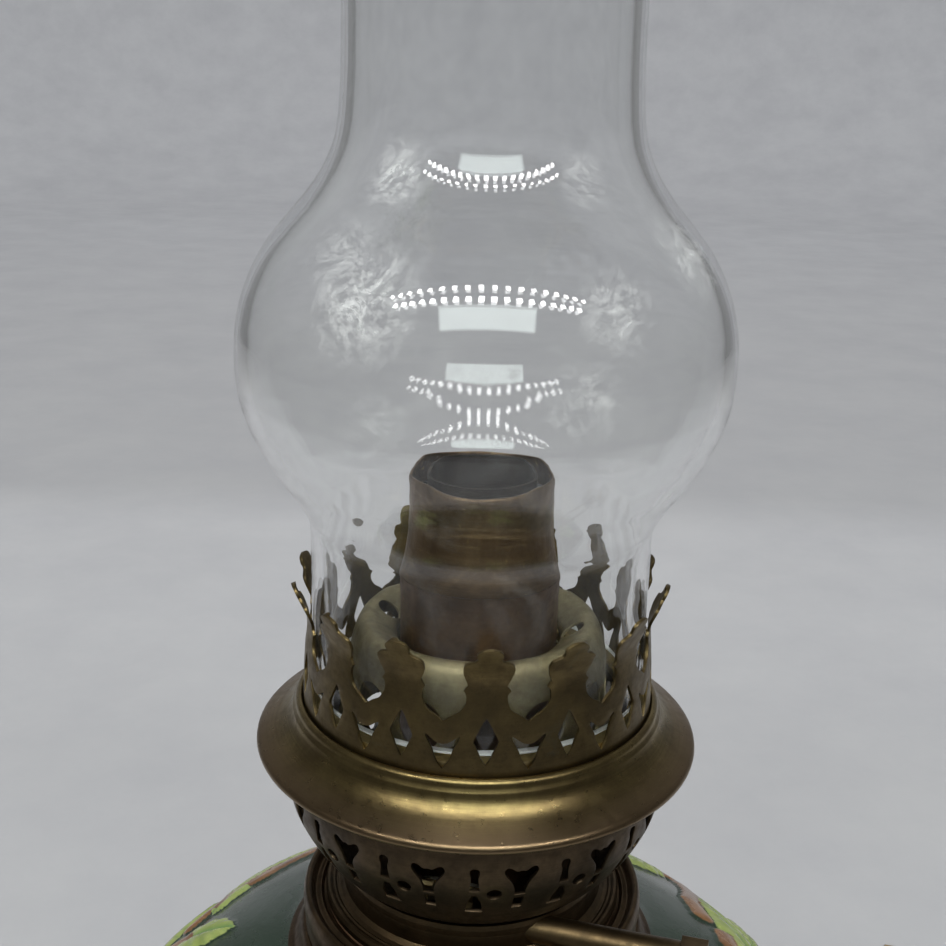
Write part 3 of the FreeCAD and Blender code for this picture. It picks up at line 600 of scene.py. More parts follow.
def leather_mat(name):
    m, nt, out = nodes_of(name)
    tc = nt.nodes.new("ShaderNodeTexCoord")
    b = nt.nodes.new("ShaderNodeBsdfPrincipled")
    v = nt.nodes.new("ShaderNodeTexVoronoi")
    v.inputs["Scale"].default_value = 1800.0
    nt.links.new(tc.outputs["Object"], v.inputs["Vector"])
    n1 = noise_tex(nt, tc.outputs["Object"], 180.0, 5, 0.6)
    nt.links.new(mix_col(nt, ramp(nt, n1, [(0.35, 0.0), (0.7, 1.0)]), (0.055, 0.028, 0.014), (0.13, 0.07, 0.035)), b.inputs["Base Color"])
    b.inputs["Roughness"].default_value = 0.6
    bp = nt.nodes.new("ShaderNodeBump")
    bp.inputs["Strength"].default_value = 0.5
    bp.inputs["Distance"].default_value = 0.0001
    nt.links.new(v.outputs["Distance"], bp.inputs["Height"])
    nt.links.new(bp.outputs[0], b.inputs["Normal"])
    nt.links.new(b.outputs[0], out.inputs[0])
    return m


M_CROWN = brass("crown_brass", (0.185, 0.136, 0.060), (0.120, 0.088, 0.043), rough=(0.36, 0.54), spin=0.15, patina=0.30, patina_col=(0.040, 0.028, 0.018), verdigris=0.12)
# the shade ring's low outer flat gets painted shade: a darker, browner tint fading in from 3.4 mm down to 0.8 mm above
# the ring edge
M_FLANGE = brass("flange_brass", (0.300, 0.228, 0.092), (0.195, 0.142, 0.062), rough=(0.25, 0.42), spin=0.45, patina=0.25, zshade=(ZR + 0.0034, ZR + 0.0008), zshade_col=(0.215, 0.150, 0.085))
M_SEAT = brass("seat_brass", (0.56, 0.46, 0.24), (0.40, 0.30, 0.14), rough=(0.28, 0.42), spin=0.3, patina=0.15)
# painted shade: the basket's brass is much darker than the shade ring's, standing in for the shade under the ring; its
# patina is real
M_BASKET_SHADED = brass("basket_brass", (0.118, 0.082, 0.048), (0.070, 0.050, 0.031), rough=(0.36, 0.56), spin=0.2, patina=0.35)
M_DOME = brass("dome_brass", (0.260, 0.225, 0.125), (0.165, 0.140, 0.078), rough=(0.44, 0.62), spin=0.10, patina=0.35, patina_col=(0.050, 0.040, 0.024), metallic=0.85)
M_NOZZLE = brass("nozzle_brass", (0.270, 0.180, 0.098), (0.155, 0.102, 0.060), rough=(0.32, 0.52), spin=0.35, patina=0.35, verdigris=0.06, gold=0.55)
M_SLEEVE = brass("sleeve_brass", (0.255, 0.160, 0.094), (0.155, 0.098, 0.062), rough=(0.34, 0.55), spin=0.25, patina=0.30, verdigris=0.12, gold=0.15)
# painted shade: the draft tube's near-black brass stands in for the shade inside the tube; its patina and verdigris are
# real
M_DRAFT_SHADED = brass("draft_brass", (0.045, 0.031, 0.020), (0.022, 0.016, 0.011), rough=(0.50, 0.72), spin=0.2, patina=0.5, verdigris=0.10)
M_POT = brass("pot_brass", (0.150, 0.100, 0.052), (0.085, 0.060, 0.032), rough=(0.34, 0.52), spin=0.35, patina=0.35)
M_COLLAR = brass("collar_brass", (0.150, 0.098, 0.052), (0.085, 0.058, 0.032), rough=(0.34, 0.52), spin=0.4, patina=0.30)
M_MOUNT = brass("mount_brass", (0.130, 0.084, 0.046), (0.080, 0.052, 0.030), rough=(0.38, 0.56), spin=0.35, patina=0.35)
M_GLAND = brass("gland_brass", (0.150, 0.104, 0.052), (0.098, 0.068, 0.036), rough=(0.36, 0.52), spin=0.1, patina=0.35)
M_KNOB = brass("knob_brass", (0.30, 0.215, 0.098), (0.17, 0.118, 0.056), rough=(0.28, 0.46), spin=0.1, patina=0.3)
M_FOOT = brass("foot_brass", (0.26, 0.180, 0.082), (0.145, 0.098, 0.048), rough=(0.27, 0.46), spin=0.4, patina=0.3)
M_INNER = brass("inner_brass", (0.36, 0.27, 0.13), (0.22, 0.16, 0.08), rough=(0.32, 0.5), spin=0.2, patina=0.25)
M_GLASS = glass_mat("clear_glass")
M_GROUND = glass_mat("ground_glass_rim", True)
M_GLAZE = glaze_mat("green_glaze")
M_WICK = wick_mat("cotton_wick")
M_IRON = iron_mat("weight_iron")
M_STEEL = iron_mat("rod_steel", (0.22, 0.22, 0.22), 0.95, 0.42, 0.25)
M_LEATHER = leather_mat("seal_leather")

for node, mat in (("gallery_seat", M_SEAT), ("wick_tube_sleeve", M_SLEEVE), ("draft_tube", M_DRAFT_SHADED), ("air_port_duct", M_INNER),
                  ("burner_thread_ring", M_INNER), ("burner_seal", M_LEATHER), ("winder_spindle", M_GLAND), ("wick_wheels", M_INNER),
                  ("winder_gland", M_GLAND), ("gland_nut", M_GLAND), ("winder_knob", M_KNOB), ("spindle_bearing", M_INNER),
                  ("font_reservoir", M_INNER), ("base_weight", M_IRON), ("tie_rod", M_STEEL), ("tie_washers", M_STEEL), ("tie_nuts", M_STEEL),
                  ("burner_body", M_POT)):
    me = NODES[node].data
    me.materials.clear()
    me.materials.append(mat)

# ------------------------------------------------------------------ chimney
g_h = [9.46, 20.0, 34.0, 36.6, 38.0, 39.5, 41.4, 45.5, 49.7, 53.8, 58.0, 62.1, 66.2, 70.4, 74.5, 78.5, 82.2, 86.0, 90.1, 94.2, 98.6, 106.0, 130.0, 259.5]
g_r = [26.4, 26.4, 26.4, 26.5, 26.9, 27.6, 28.75, 31.55, 34.0, 35.75, 36.75, 37.0, 36.8, 36.0, 34.5, 32.3, 29.35, 26.1, 23.45, 21.95, 21.4, 21.1, 21.0, 21.0]
g_out = hermite(g_h, g_r)
GW = 1.9


def glass_outline():
    hs = []
    h = 10.2
    while h < 258.7:
        hs.append(h)
        h += 0.9 if 33 < h < 112 else 4.0
    hs.append(258.7)
    outer = [(g_out(h), h) for h in hs]
    inner = []
    for r, h in outer:
        s = (g_out(min(h + 0.4, 259)) - g_out(max(h - 0.4, 9.5))) / 0.8 if 12 < h < 256 else 0.0
        L = math.hypot(1, s)
        inner.append((r - GW / L, h + GW * s / L))
    inner[0] = (24.5, 10.2)
    # rounded foot rim and fire-polished lip
    foot, lip = [], []
    for i in range(1, 8):
        a = math.pi * i / 8
        foot.append((25.45 + 0.95 * -math.cos(a), 10.2 - 0.72 * math.sin(a)))
        lip.append((20.05 + 0.95 * math.cos(a), 258.7 + 0.78 * math.sin(a)))
    return outer + lip + inner[::-1] + foot


def raw_lathe(name, prof, mat, seg, deform=None):
    n = len(prof)
    verts, faces = [], []
    for s in range(seg):
        az = 360.0 * s / seg
        for (r, h) in prof:
            p = polar(r, az, h)
            verts.append(deform(p, az, r, h) if deform else p)
    for s in range(seg):
        s2 = (s + 1) % seg
        for i in range(n):
            j = (i + 1) % n
            faces.append((s * n + i, s2 * n + i, s2 * n + j, s * n + j))
    return new_object(name, verts, faces, mat, 180.0)


chimney = raw_lathe("chimney", glass_outline(), M_GLASS, 256)
# the foot's rim is cut off and ground
chimney.data.materials.append(M_GROUND)
for f in chimney.data.polygons:
    if f.center.z < ZR + 0.01035:
        f.material_index = 1
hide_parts("chimney_glass")
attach(chimney, "chimney")

# ------------------------------------------------------------------ gallery crown
N = 14
PITCH = 360.0 / N
HALF = PITCH / 2
crown_r = hermite([4.5, 9.0, 12.0, 16.5, 20.5, 21.4, 22.8, 24.6, 26.3, 27.7],
                  [27.95, 27.9, 27.8, 27.5, 27.17, 27.2, 27.55, 28.25, 28.95, 29.5])
gap_half = [(0.0, 15.7), (0.8, 15.95), (1.7, 16.3), (2.7, 16.6), (3.8, 16.9),
            (4.9, 17.3), (5.8, 17.8), (6.45, 18.4), (6.75, 19.1), (6.7, 19.7),
            (6.35, 20.15), (5.75, 20.45), (6.15, 20.75), (6.8, 21.15), (6.7, 21.6),
            (6.25, 22.1), (5.75, 22.7), (5.45, 23.3), (5.35, 23.9), (5.5, 24.4),
            (6.0, 24.8), (7.0, 25.05), (8.3, 25.3), (9.1, 25.55), (9.35, 25.85),
            (9.15, 26.3), (9.3, 26.75), (9.9, 27.15), (11.0, 27.45), (12.857, 27.6)]
kite_half = [(0.0, 9.1), (0.7, 9.6), (1.4, 10.2), (2.2, 11.1), (3.0, 12.0),
             (3.55, 12.5), (3.65, 13.0), (3.1, 13.6), (2.2, 14.5), (1.2, 15.5),
             (0.5, 16.1), (0.0, 16.4)]
tulip_half = [(0.0, 8.25), (0.8, 8.75), (1.7, 9.4), (2.4, 10.1), (2.95, 11.0),
              (3.7, 11.8), (4.5, 12.5), (5.1, 13.1), (5.15, 13.5), (4.3, 13.3),
              (2.9, 12.75), (1.5, 12.35), (0.0, 12.2)]
R0 = 27.6
DEG = R0 * math.pi / 180.0       # mm of arc per degree on the crown


def crown_cell(jit):
    """One prong with half a tulip each side, x in mm of arc, y in mm."""
    def side(sgn, jr):
        t = curve_run([(d * DEG, h) for d, h in tulip_half], 0.4)
        g = curve_run([(d * DEG * (1 + 0.02 * jr.uniform(-1, 1)) if 0 < d < 12 else d * DEG, h) for d, h in gap_half], 0.35)
        run = [(HALF * DEG, 5.0), (HALF * DEG, 6.6)]
        run += [(HALF * DEG - x, h) for x, h in t]
        run += [(HALF * DEG, 13.4), (HALF * DEG, 14.6)]
        run += [(max(HALF * DEG - x, 0.0), h) for x, h in g]
        return [(sgn * x, h) for x, h in run]
    right = side(1, jit)
    left = side(-1, jit)[::-1]
    bottom = [(-HALF * DEG + 2 * HALF * DEG * i / 10, 5.0) for i in range(1, 10)]
    bd = right[:-1] + left[:-1] + [left[-1]] + bottom
    k = curve_run([(d * DEG, h) for d, h in kite_half], 0.4)
    kite = k + [(-x, h) for x, h in k[::-1][1:-1]]
    return cell_mesh(bd, [kite], 1.0)


prong_bend = [RNG.uniform(-0.32, 0.35) for _ in range(N)]
prong_skew = [RNG.uniform(-0.35, 0.35) for _ in range(N)]


def crown_place(az0, x, h, k):
    az = az0 + x / DEG
    up = smooth(h, 17.5, 27.6)
    r = crown_r(h) + prong_bend[k] * up
    az += math.degrees(prong_skew[k] * up / R0)
    p = polar(r, az, h)
    d = noise.noise(p * 130.0 + Vector((3.0, 1.0, 2.0))) * 0.07
    return polar(r + d, az, h + 0.05 * noise.noise(p * 90.0))


cells = []
for k in range(N):
    cells.append((2.6 + k * PITCH, crown_cell(random.Random(50 + k)), k))
crown = pierced("gallery_crown_band", cells, crown_place, M_CROWN, 0.45)
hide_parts("gallery_crown")
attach(crown, "gallery")

# ------------------------------------------------------------------ shade ring
ring = [(35.15, -0.55), (35.4, -0.35), (35.5, 0.0), (35.42, 0.45), (35.1, 0.8),
        (34.6, 1.1), (33.8, 1.5), (32.9, 1.95), (32.0, 2.45), (31.2, 3.1),
        (30.55, 3.8), (30.1, 4.45), (29.8, 5.1), (29.62, 5.75), (29.3, 6.1),
        (29.25, 6.45), (29.1, 6.95), (28.75, 7.3), (28.35, 7.4), (28.12, 7.2),
        (28.1, 4.6), (28.6, 3.9), (29.0, 3.2), (29.6, 2.45), (30.4, 1.9),
        (30.4, 0.1), (31.0, 0.1), (31.0, -1.2), (31.45, -1.2), (31.45, 1.5),
        (32.3, 1.1), (33.3, 0.65), (34.2, 0.2), (34.7, -0.1), (34.8, -0.45)]
flange = lathe("shade_ring", ring, M_FLANGE, seg=288, wobble=0.10, wob_scale=0.04)
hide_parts("gallery_flange")
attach(flange, "gallery")

# ------------------------------------------------------------------ air basket
basket_r = hermite([-22.55, -22.0, -20.0, -16.7, -13.0, -9.5, -6.0, -1.5, -0.5],
                   [21.0, 21.9, 24.2, 26.8, 29.0, 30.3, 30.7, 30.7, 30.62])
BD = 29.5 * math.pi / 180.0
keyhole = [(0.0, -10.25), (1.45, -10.25), (1.3, -9.5), (1.05, -8.5), (1.05, -7.6), (1.35, -7.0),
           (1.35, -6.5), (0.9, -6.15), (0.0, -6.05)]
trefoil = [(0.0, -11.3), (1.65, -11.3), (1.5, -10.6), (1.75, -9.9), (2.3, -9.0), (3.4, -8.1),
           (4.3, -7.4), (4.7, -6.9), (4.6, -6.4), (4.0, -6.1), (3.0, -6.15),
           (2.0, -6.5), (1.2, -6.75), (0.0, -6.6)]
a_foot = [(0.0, -15.6), (2.7, -15.6), (2.3, -14.2), (2.0, -13.0), (1.2, -12.0), (0.8, -11.3), (0.0, -11.3)]
block = [(0.0, -14.6), (1.6, -14.6), (1.45, -12.0), (0.0, -12.0)]


def closed_sym(half, corner=50.0):
    k = curve_run([(d * BD, h) for d, h in half], 0.3, corner)
    return k + [(-x, h) for x, h in k[::-1][1:-1]]


def basket_cell(jr):
    tre = curve_run([(d * BD, h) for d, h in trefoil], 0.3, 50.0)
    blk = curve_run([(d * BD, h) for d, h in block], 0.4, 50.0)

    def side(sgn):
        run = [(HALF * BD, -22.55), (HALF * BD, -20.0), (HALF * BD, -17.0)]
        run += [(HALF * BD - x, h) for x, h in blk]
        run += [(HALF * BD - x, h) for x, h in tre]
        run += [(HALF * BD, -4.0), (HALF * BD, -2.0), (HALF * BD, -0.5)]
        return [(sgn * x, h) for x, h in run]
    right, left = side(1), side(-1)[::-1]
    top = [(HALF * BD - 2 * HALF * BD * i / 12, -0.5) for i in range(1, 12)]
    bot = [(-HALF * BD + 2 * HALF * BD * i / 12, -22.55) for i in range(1, 12)]
    bd = right + top + left + bot
    dot = [(5.6 * BD + 1.12 * math.cos(2 * math.pi * i / 20), -11.0 + 1.08 * math.sin(2 * math.pi * i / 20)) for i in range(20)]
    return cell_mesh(bd, [closed_sym(keyhole), closed_sym(a_foot), dot], 1.15)


bcell = basket_cell(None)


def basket_place(az0, x, h, k):
    az = az0 + x / BD
    p = polar(basket_r(h), az, h)
    d = noise.noise(p * 80.0 + Vector((9.0, 4.0, 2.0))) * 0.10
    return polar(basket_r(h) + d, az, h)


basket = pierced("basket_wall", [(0.3 + k * PITCH, bcell, k) for k in range(N)], basket_place, M_BASKET_SHADED, 0.5)
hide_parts("air_basket")
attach(basket, "burner")
rim = lathe("basket_rim", [(30.62, -0.25), (30.7, -0.8), (30.62, -1.4), (30.15, -1.4), (30.1, -0.75), (26.0, -0.75), (26.0, -0.25)], M_BASKET_SHADED, seg=224)
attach(rim, "burner")

# ------------------------------------------------------------------ air diffuser
dome_run = curve_run([(21.0, 0.4), (20.9, 4.0), (20.9, 9.3), (20.8, 12.4), (20.6, 14.5), (20.3, 16.3), (19.9, 17.8),
                      (19.4, 19.1), (18.8, 20.0), (18.0, 20.5), (17.0, 20.35), (16.0, 19.75), (15.0, 19.1), (13.8, 18.3),
                      (13.15, 17.7), (13.0, 16.9)], 0.4)
dome_len = [0.0]
for (ra, ha), (rb_, hb) in zip(dome_run[:-1], dome_run[1:]):
    dome_len.append(dome_len[-1] + math.hypot(rb_ - ra, hb - ha))
DL = dome_len[-1]
DD = 20.0 * math.pi / 180.0
s_side = min(dome_len, key=lambda q: abs(lerp(q, dome_len, [p[1] for p in dome_run]) - 11.3) + (100 if q > 14 else 0))
s_dip = min(dome_len, key=lambda q: abs(lerp(q, dome_len, [p[0] for p in dome_run]) - 15.0))


def dome_half(dips):
    """Half of the dome's wall, laid flat: running length against arc."""
    def circ(cx, cy, rx, ry, n=36):
        return [(cx + rx * math.cos(2 * math.pi * i / n), cy + ry * math.sin(2 * math.pi * i / n)) for i in range(n)]
    w = 90.0 * DD
    ys = [DL * i / 30 for i in range(31)]
    bd = [(w, y) for y in ys] + [(w - 2 * w * i / 70, DL) for i in range(1, 70)] + [(-w, y) for y in ys[::-1]] + [(-w + 2 * w * i / 70, 0.0) for i in range(1, 70)]
    holes = [circ(PITCH * k * DD, s_side, 3.5 * 20.0 / 20.85, 3.5) for k in range(-3, 4)]
    holes += [circ(d * DD, s_dip, 1.9 * 20.0 / 15.0, 2.15) for d in dips]
    return cell_mesh(bd, holes, 0.85)


def dome_place(az0, x, q, k):
    r = lerp(q, dome_len, [p[0] for p in dome_run])
    h = lerp(q, dome_len, [p[1] for p in dome_run])
    az = az0 + x / DD
    p = polar(r, az, h)
    n1 = noise.noise(p * 120.0) * 0.07
    edge = smooth(q, 1.0, 4.0) * (1 - smooth(q, DL - 2.0, DL - 0.5))
    return polar(r + n1 * edge, az, h + 0.05 * edge * noise.noise(p * 90.0 + Vector((4.0, 0.0, 1.0))))


dome = pierced("diffuser_dome", [(2.3, dome_half((-10.3, 78.0)), 0), (182.3, dome_half((-10.3, 73.7)), 1)], dome_place, M_DOME, 0.4, bevel=0.05)
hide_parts("air_diffuser")
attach(dome, "burner")
dfoot = lathe("diffuser_foot", [(26.5, -0.2), (26.5, 0.25), (21.75, 0.25), (21.1, 0.75), (20.6, 0.75), (20.7, 0.2), (21.2, -0.2)], M_DOME, seg=160)
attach(dfoot, "burner")

# ------------------------------------------------------------------ wick tube top
noz = [(11.95, 23.5), (11.95, 28.15), (12.45, 28.25), (12.42, 28.9), (12.25, 30.0), (11.9, 31.5),
       (11.62, 32.8), (11.48, 34.0), (11.38, 36.0), (11.28, 40.0), (11.2, 43.05), (11.12, 43.3),
       (10.8, 43.3), (10.75, 43.0), (10.78, 40.0), (10.85, 36.0), (11.0, 33.4), (11.4, 31.2), (11.5, 28.9), (11.5, 23.5)]


def tube_dent(p, az, r, h):
    # slightly bruised rim
    k = smooth(h, 38.0, 43.3)
    d = 0.22 * k * noise.noise(Vector((math.sin(math.radians(az)) * 1.7, math.cos(math.radians(az)) * 1.7, 0.3)))
    d2 = 0.25 * k * noise.noise(Vector((math.sin(math.radians(az)) * 2.3, math.cos(math.radians(az)) * 2.3, 5.3)))
    return p + radial(az) * d * MM + Vector((0, 0, d2 * MM))


nozzle = lathe("nozzle", noz, M_NOZZLE, seg=192, deform=tube_dent, fillet=0.08, step=0.6)
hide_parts("wick_tube_nozzle")
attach(nozzle, "burner")

# ------------------------------------------------------------------ wick
def wick_piece():
    verts, faces = [], []
    seg = 150
    port = 252.0

    def ringset(z0, z1, nz, half, top):
        base = len(verts)
        rows = nz + 1
        for s in range(seg + 1):
            az = port + half + (360.0 - 2 * half) * s / seg
            for side in (0, 1):
                for i in range(rows):
                    h = z0 + (z1 - z0) * i / nz
                    q = Vector((math.sin(math.radians(az)) * 9.0, math.cos(math.radians(az)) * 9.0, h * 0.6))
                    f = noise.noise(q * 1.3) * 0.10
                    r = (10.36 + f * 0.6) if side else (8.98 - f * 0.6)
                    hh = h
                    if top and i >= nz - 1:
                        r += (0.25 if i == nz else 0.0) * (-1 if side else 1)
                        if i == nz:
                            hh = h - 0.15 - 0.45 * abs(noise.noise(q * 2.1 + Vector((5, 1, 2))))
                    verts.append(polar(r, az, hh))
        w = 2 * rows
        for s in range(seg):
            a, b = base + s * w, base + (s + 1) * w
            for i in range(rows - 1):
                faces.append((a + rows + i, b + rows + i, b + rows + i + 1, a + rows + i + 1))
                faces.append((a + i + 1, b + i + 1, b + i, a + i))
            faces.append((a + rows + rows - 1, b + rows + rows - 1, b + rows - 1, a + rows - 1))
            faces.append((a, b, b + rows, a + rows))
        for s, flip in ((0, False), (seg, True)):
            a = base + s * w
            for i in range(rows - 1):
                f = (a + i, a + rows + i, a + rows + i + 1, a + i + 1)
                faces.append(f[::-1] if flip else f)
    ringset(7.9, 40.2, 40, 3.2, True)
    ringset(-118.0, 8.0, 60, 33.0, False)
    return new_object("round_wick", verts, faces, M_WICK, 60.0)


wick = wick_piece()
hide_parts("wick")
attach(wick, "wick_body")

# ------------------------------------------------------------------ collar and neck mount
collar = lathe("font_collar_rings", [(20.9, -30.4), (25.2, -30.4), (25.6, -29.6), (26.1, -29.9), (26.5, -30.1), (26.9, -29.6),
               (27.2, -28.9), (27.7, -28.55), (28.2, -28.8), (28.5, -29.6), (28.6, -30.9),
               (28.5, -32.2), (28.25, -33.2), (28.3, -34.6), (28.3, -35.3), (27.3, -35.3), (27.3, -32.2),
               (26.6, -31.4), (21.9, -31.4), (21.9, -39.35), (20.9, -39.35)], M_COLLAR, seg=224, wobble=0.06)
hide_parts("font_collar")
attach(collar, "font")

mount = lathe("neck_mount", [(26.2, -35.65), (28.6, -35.65), (29.0, -36.1), (29.3, -37.4), (29.8, -38.8), (30.45, -39.9),
              (31.3, -40.35), (31.5, -40.55), (27.1, -40.55), (27.1, -46.0), (26.2, -46.0)], M_MOUNT, seg=224, wobble=0.08)
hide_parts("mount_ring")
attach(mount, "lamp_body")

# ------------------------------------------------------------------ ceramic body
BR, BH, BC = 78.5, 68.2, 110.8
LEAVES = []
STEMS = []


def leaf(az, h, ang, length, width, tone=1.0):
    LEAVES.append((az, h, math.radians(ang), length, width, tone))


def surf(az, h):
    q = math.sqrt(max(0.0, 1 - ((h - BC) / BH) ** 2))
    return BR * q


# branches of leaves round the shoulder and belly
NB = 6
for b in range(NB):
    a0 = 58.0 + b * 360.0 / NB
    rr = random.Random(900 + b)
    # a stem that rises from the belly to the shoulder in a loose S
    pts = []
    for i in range(15):
        t = i / 14
        pts.append((a0 - 16 + 30 * t + 5 * math.sin(6.0 * t + b), 84 + 76 * t))
    STEMS.append(pts)
    for i in range(2, 15, 2):
        az, h = pts[i]
        sgn = 1 if (i // 2) % 2 else -1
        leaf(az + sgn * rr.uniform(6.5, 8.5), h + rr.uniform(-1, 3), 90 - sgn * rr.uniform(42, 62), rr.uniform(19, 25) * (1.0 - 0.15 * (h > 150)), rr.uniform(8.5, 11.0))
    leaf(pts[-1][0] + 2.0, pts[-1][1] + 3.0, 80, 17, 9)
# two leaves that lie along the shoulder, with their stalks
leaf(-129.0, 160.6, 176.0, 29.0, 10.5)
leaf(112.5, 160.6, 4.0, 27.0, 10.5)
STEMS.append([(-112.0, 156.5), (-119.0, 159.6), (-126.0, 163.2), (-136.0, 164.6), (-146.0, 164.0)])
STEMS.append([(131.0, 158.0), (125.0, 161.0), (119.0, 164.4), (112.0, 165.2)])
STEMS.append([(107.0, 163.6), (103.0, 164.0), (98.0, 162.5), (92.0, 158.0), (88.0, 151.0)])

SEG_A = 720
hs_out = []
a_lo, a_hi = math.asin((50.0 - BC) / BH), math.asin((172.3 - BC) / BH)
NV = 250
profile = [(BR * math.cos(a_lo + (a_hi - a_lo) * i / NV), BC + BH * math.sin(a_lo + (a_hi - a_lo) * i / NV)) for i in range(NV + 1)]


def relief(az, h):
    """raised height in mm, leaf mask, vein mask, stem mask"""
    R = surf(az, h)
    lift = leafm = veinm = stemm = 0.0
    for (la, lh, lang, L, W, tone) in LEAVES:
        da = (az - la + 180.0) % 360.0 - 180.0
        if abs(da) > 40:
            continue
        x = math.radians(da) * R
        q = math.sqrt(max(1e-3, 1 - ((h - BC) / BH) ** 2))
        # length along the profile for a change in height
        ds = math.hypot(1.0, BR * (h - BC) / (BH * BH * q))
        y = (h - lh) * min(ds, 2.5)
        if x * x + y * y > (0.62 * L) ** 2:
            continue
        u = x * math.cos(lang) + y * math.sin(lang)
        v = -x * math.sin(lang) + y * math.cos(lang)
        t = u / L + 0.5
        if t <= 0 or t >= 1:
            continue
        w = 0.5 * W * (math.sin(math.pi * t ** 0.85)) ** 0.75 * (1 + 0.10 * math.sin(t * 30.0))
        e = abs(v) / max(w, 1e-4)
        if e < 1.0:
            dome_h = (1 - e ** 3.2) * (0.65 + 0.35 * math.sin(math.pi * t))
            rib = math.exp(-(v / 0.45) ** 2)
            side = abs(v) * 1.25 - (u + 100.0)
            vein = max(0.0, math.cos(side * 2 * math.pi / 3.4)) ** 8 * smooth(e, 0.05, 0.2)
            z = 1.15 * dome_h - 0.45 * rib - 0.22 * vein + 0.35 * e * dome_h
            if z > lift:
                lift = z
                leafm = min(1.0, (1 - e) * 6.0)
                veinm = min(1.0, 0.9 * rib + 0.35 * vein)
                stemm = 0.0
    for pts in STEMS:
        for i in range(len(pts) - 1):
            (a1, h1), (a2, h2) = pts[i], pts[i + 1]
            if h < min(h1, h2) - 3 or h > max(h1, h2) + 3:
                continue
            da1 = (az - a1 + 180) % 360 - 180
            if abs(da1) > 20:
                continue
            x = math.radians(da1) * R
            y = h - h1
            bx, by = math.radians(a2 - a1) * R, h2 - h1
            tt = max(0, min(1, (x * bx + y * by) / (bx * bx + by * by)))
            d = math.hypot(x - tt * bx, y - tt * by)
            if d < 1.7:
                z = 0.95 * math.sqrt(1 - (d / 1.7) ** 2)
                if z > lift - 0.2:
                    lift = max(lift, z)
                    stemm = max(stemm, min(1.0, (1.7 - d) * 2.0))
                    leafm *= 0.2
    return lift, leafm, veinm, stemm


def body_piece():
    verts, leafs, veins, stems = [], [], [], []
    outer = profile + [(31.6, 173.3), (31.0, 173.9), (30.2, 174.3), (29.0, 174.4), (27.6, 174.4), (27.4, 174.1), (27.4, 170.0), (28.1, 168.8)]
    inn = []
    b0, b1 = math.asin((56.5 - BC) / 63.0), math.asin((168.6 - BC) / 63.0)
    for i in range(41):
        a = b1 + (b0 - b1) * i / 40
        inn.append((73.4 * math.cos(a), BC + 63.0 * math.sin(a)))
    tail = [(20.0, 56.5), (3.1, 56.5), (3.0, 56.2), (3.0, 50.2), (3.2, 50.0), (20.0, 50.0)]
    prof = outer + inn + tail
    n = len(prof)
    n_rel = len(profile)
    for s in range(SEG_A):
        az = 360.0 * s / SEG_A
        for i, (r, h) in enumerate(prof):
            lf = vn = st = 0.0
            if 5 < i < n_rel - 6:
                l, lf, vn, st = relief(az, h)
                w = noise.noise(Vector((math.sin(math.radians(az)) * 2.2, math.cos(math.radians(az)) * 2.2, h * 0.03))) * 0.35
                fade = smooth(i, 5, 20) * (1 - smooth(i, n_rel - 16, n_rel - 6))
                # keep inside the widest line of the body
                l = min(l, 0.85 + 0.6 * smooth(abs(h - BC), 6, 30))
                nr = r / BR ** 2
                nh = (h - BC) / BH ** 2
                L = math.hypot(nr, nh)
                r = r + (l * 0.95 + w * 0.5) * fade * nr / L
                h = h + (l * 0.95 + w * 0.5) * fade * nh / L
            verts.append(polar(r, az, h, 0.0))
            leafs.append(lf)
            veins.append(vn)
            stems.append(st)
    faces = []
    for s in range(SEG_A):
        s2 = (s + 1) % SEG_A
        for i in range(n):
            j = (i + 1) % n
            faces.append((s * n + i, s2 * n + i, s2 * n + j, s * n + j))
    ob = new_object("glazed_body", verts, faces, M_GLAZE, 60.0)
    for nm, data in (("leaf", leafs), ("vein", veins), ("stem", stems)):
        a = ob.data.attributes.new(nm, "FLOAT", "POINT")
        a.data.foreach_set("value", data)
    return ob


body = body_piece()
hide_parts("ceramic_body")
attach(body, "lamp_body")

# ------------------------------------------------------------------ cup and foot
def br(h):
    return 79.4 * math.sqrt(max(0.0, 1 - ((h - 110.8) / 69.0) ** 2))


zb = 50.0
rb = br(zb)
cup = lathe("body_cup", [(3.2, zb - 1.3), (3.2, zb - 0.05), (rb - 0.6, zb - 0.05), (rb + 0.25, zb + 0.1),
            (br(zb + 1.5) + 0.25, zb + 1.5), (br(zb + 3.0) + 0.3, zb + 3.0), (br(zb + 4.6) + 0.35, zb + 4.6),
            (br(zb + 4.6) + 1.3, zb + 5.2), (br(zb + 4.6) + 1.9, zb + 4.4), (br(zb + 2.6) + 1.9, zb + 2.6),
            (br(zb + 1.0) + 1.9, zb + 0.9), (rb + 0.8, zb - 0.9), (rb - 2.0, zb - 1.3)], M_FOOT, base=0.0, seg=224)
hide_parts("base_cup")
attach(cup, "lamp_body")

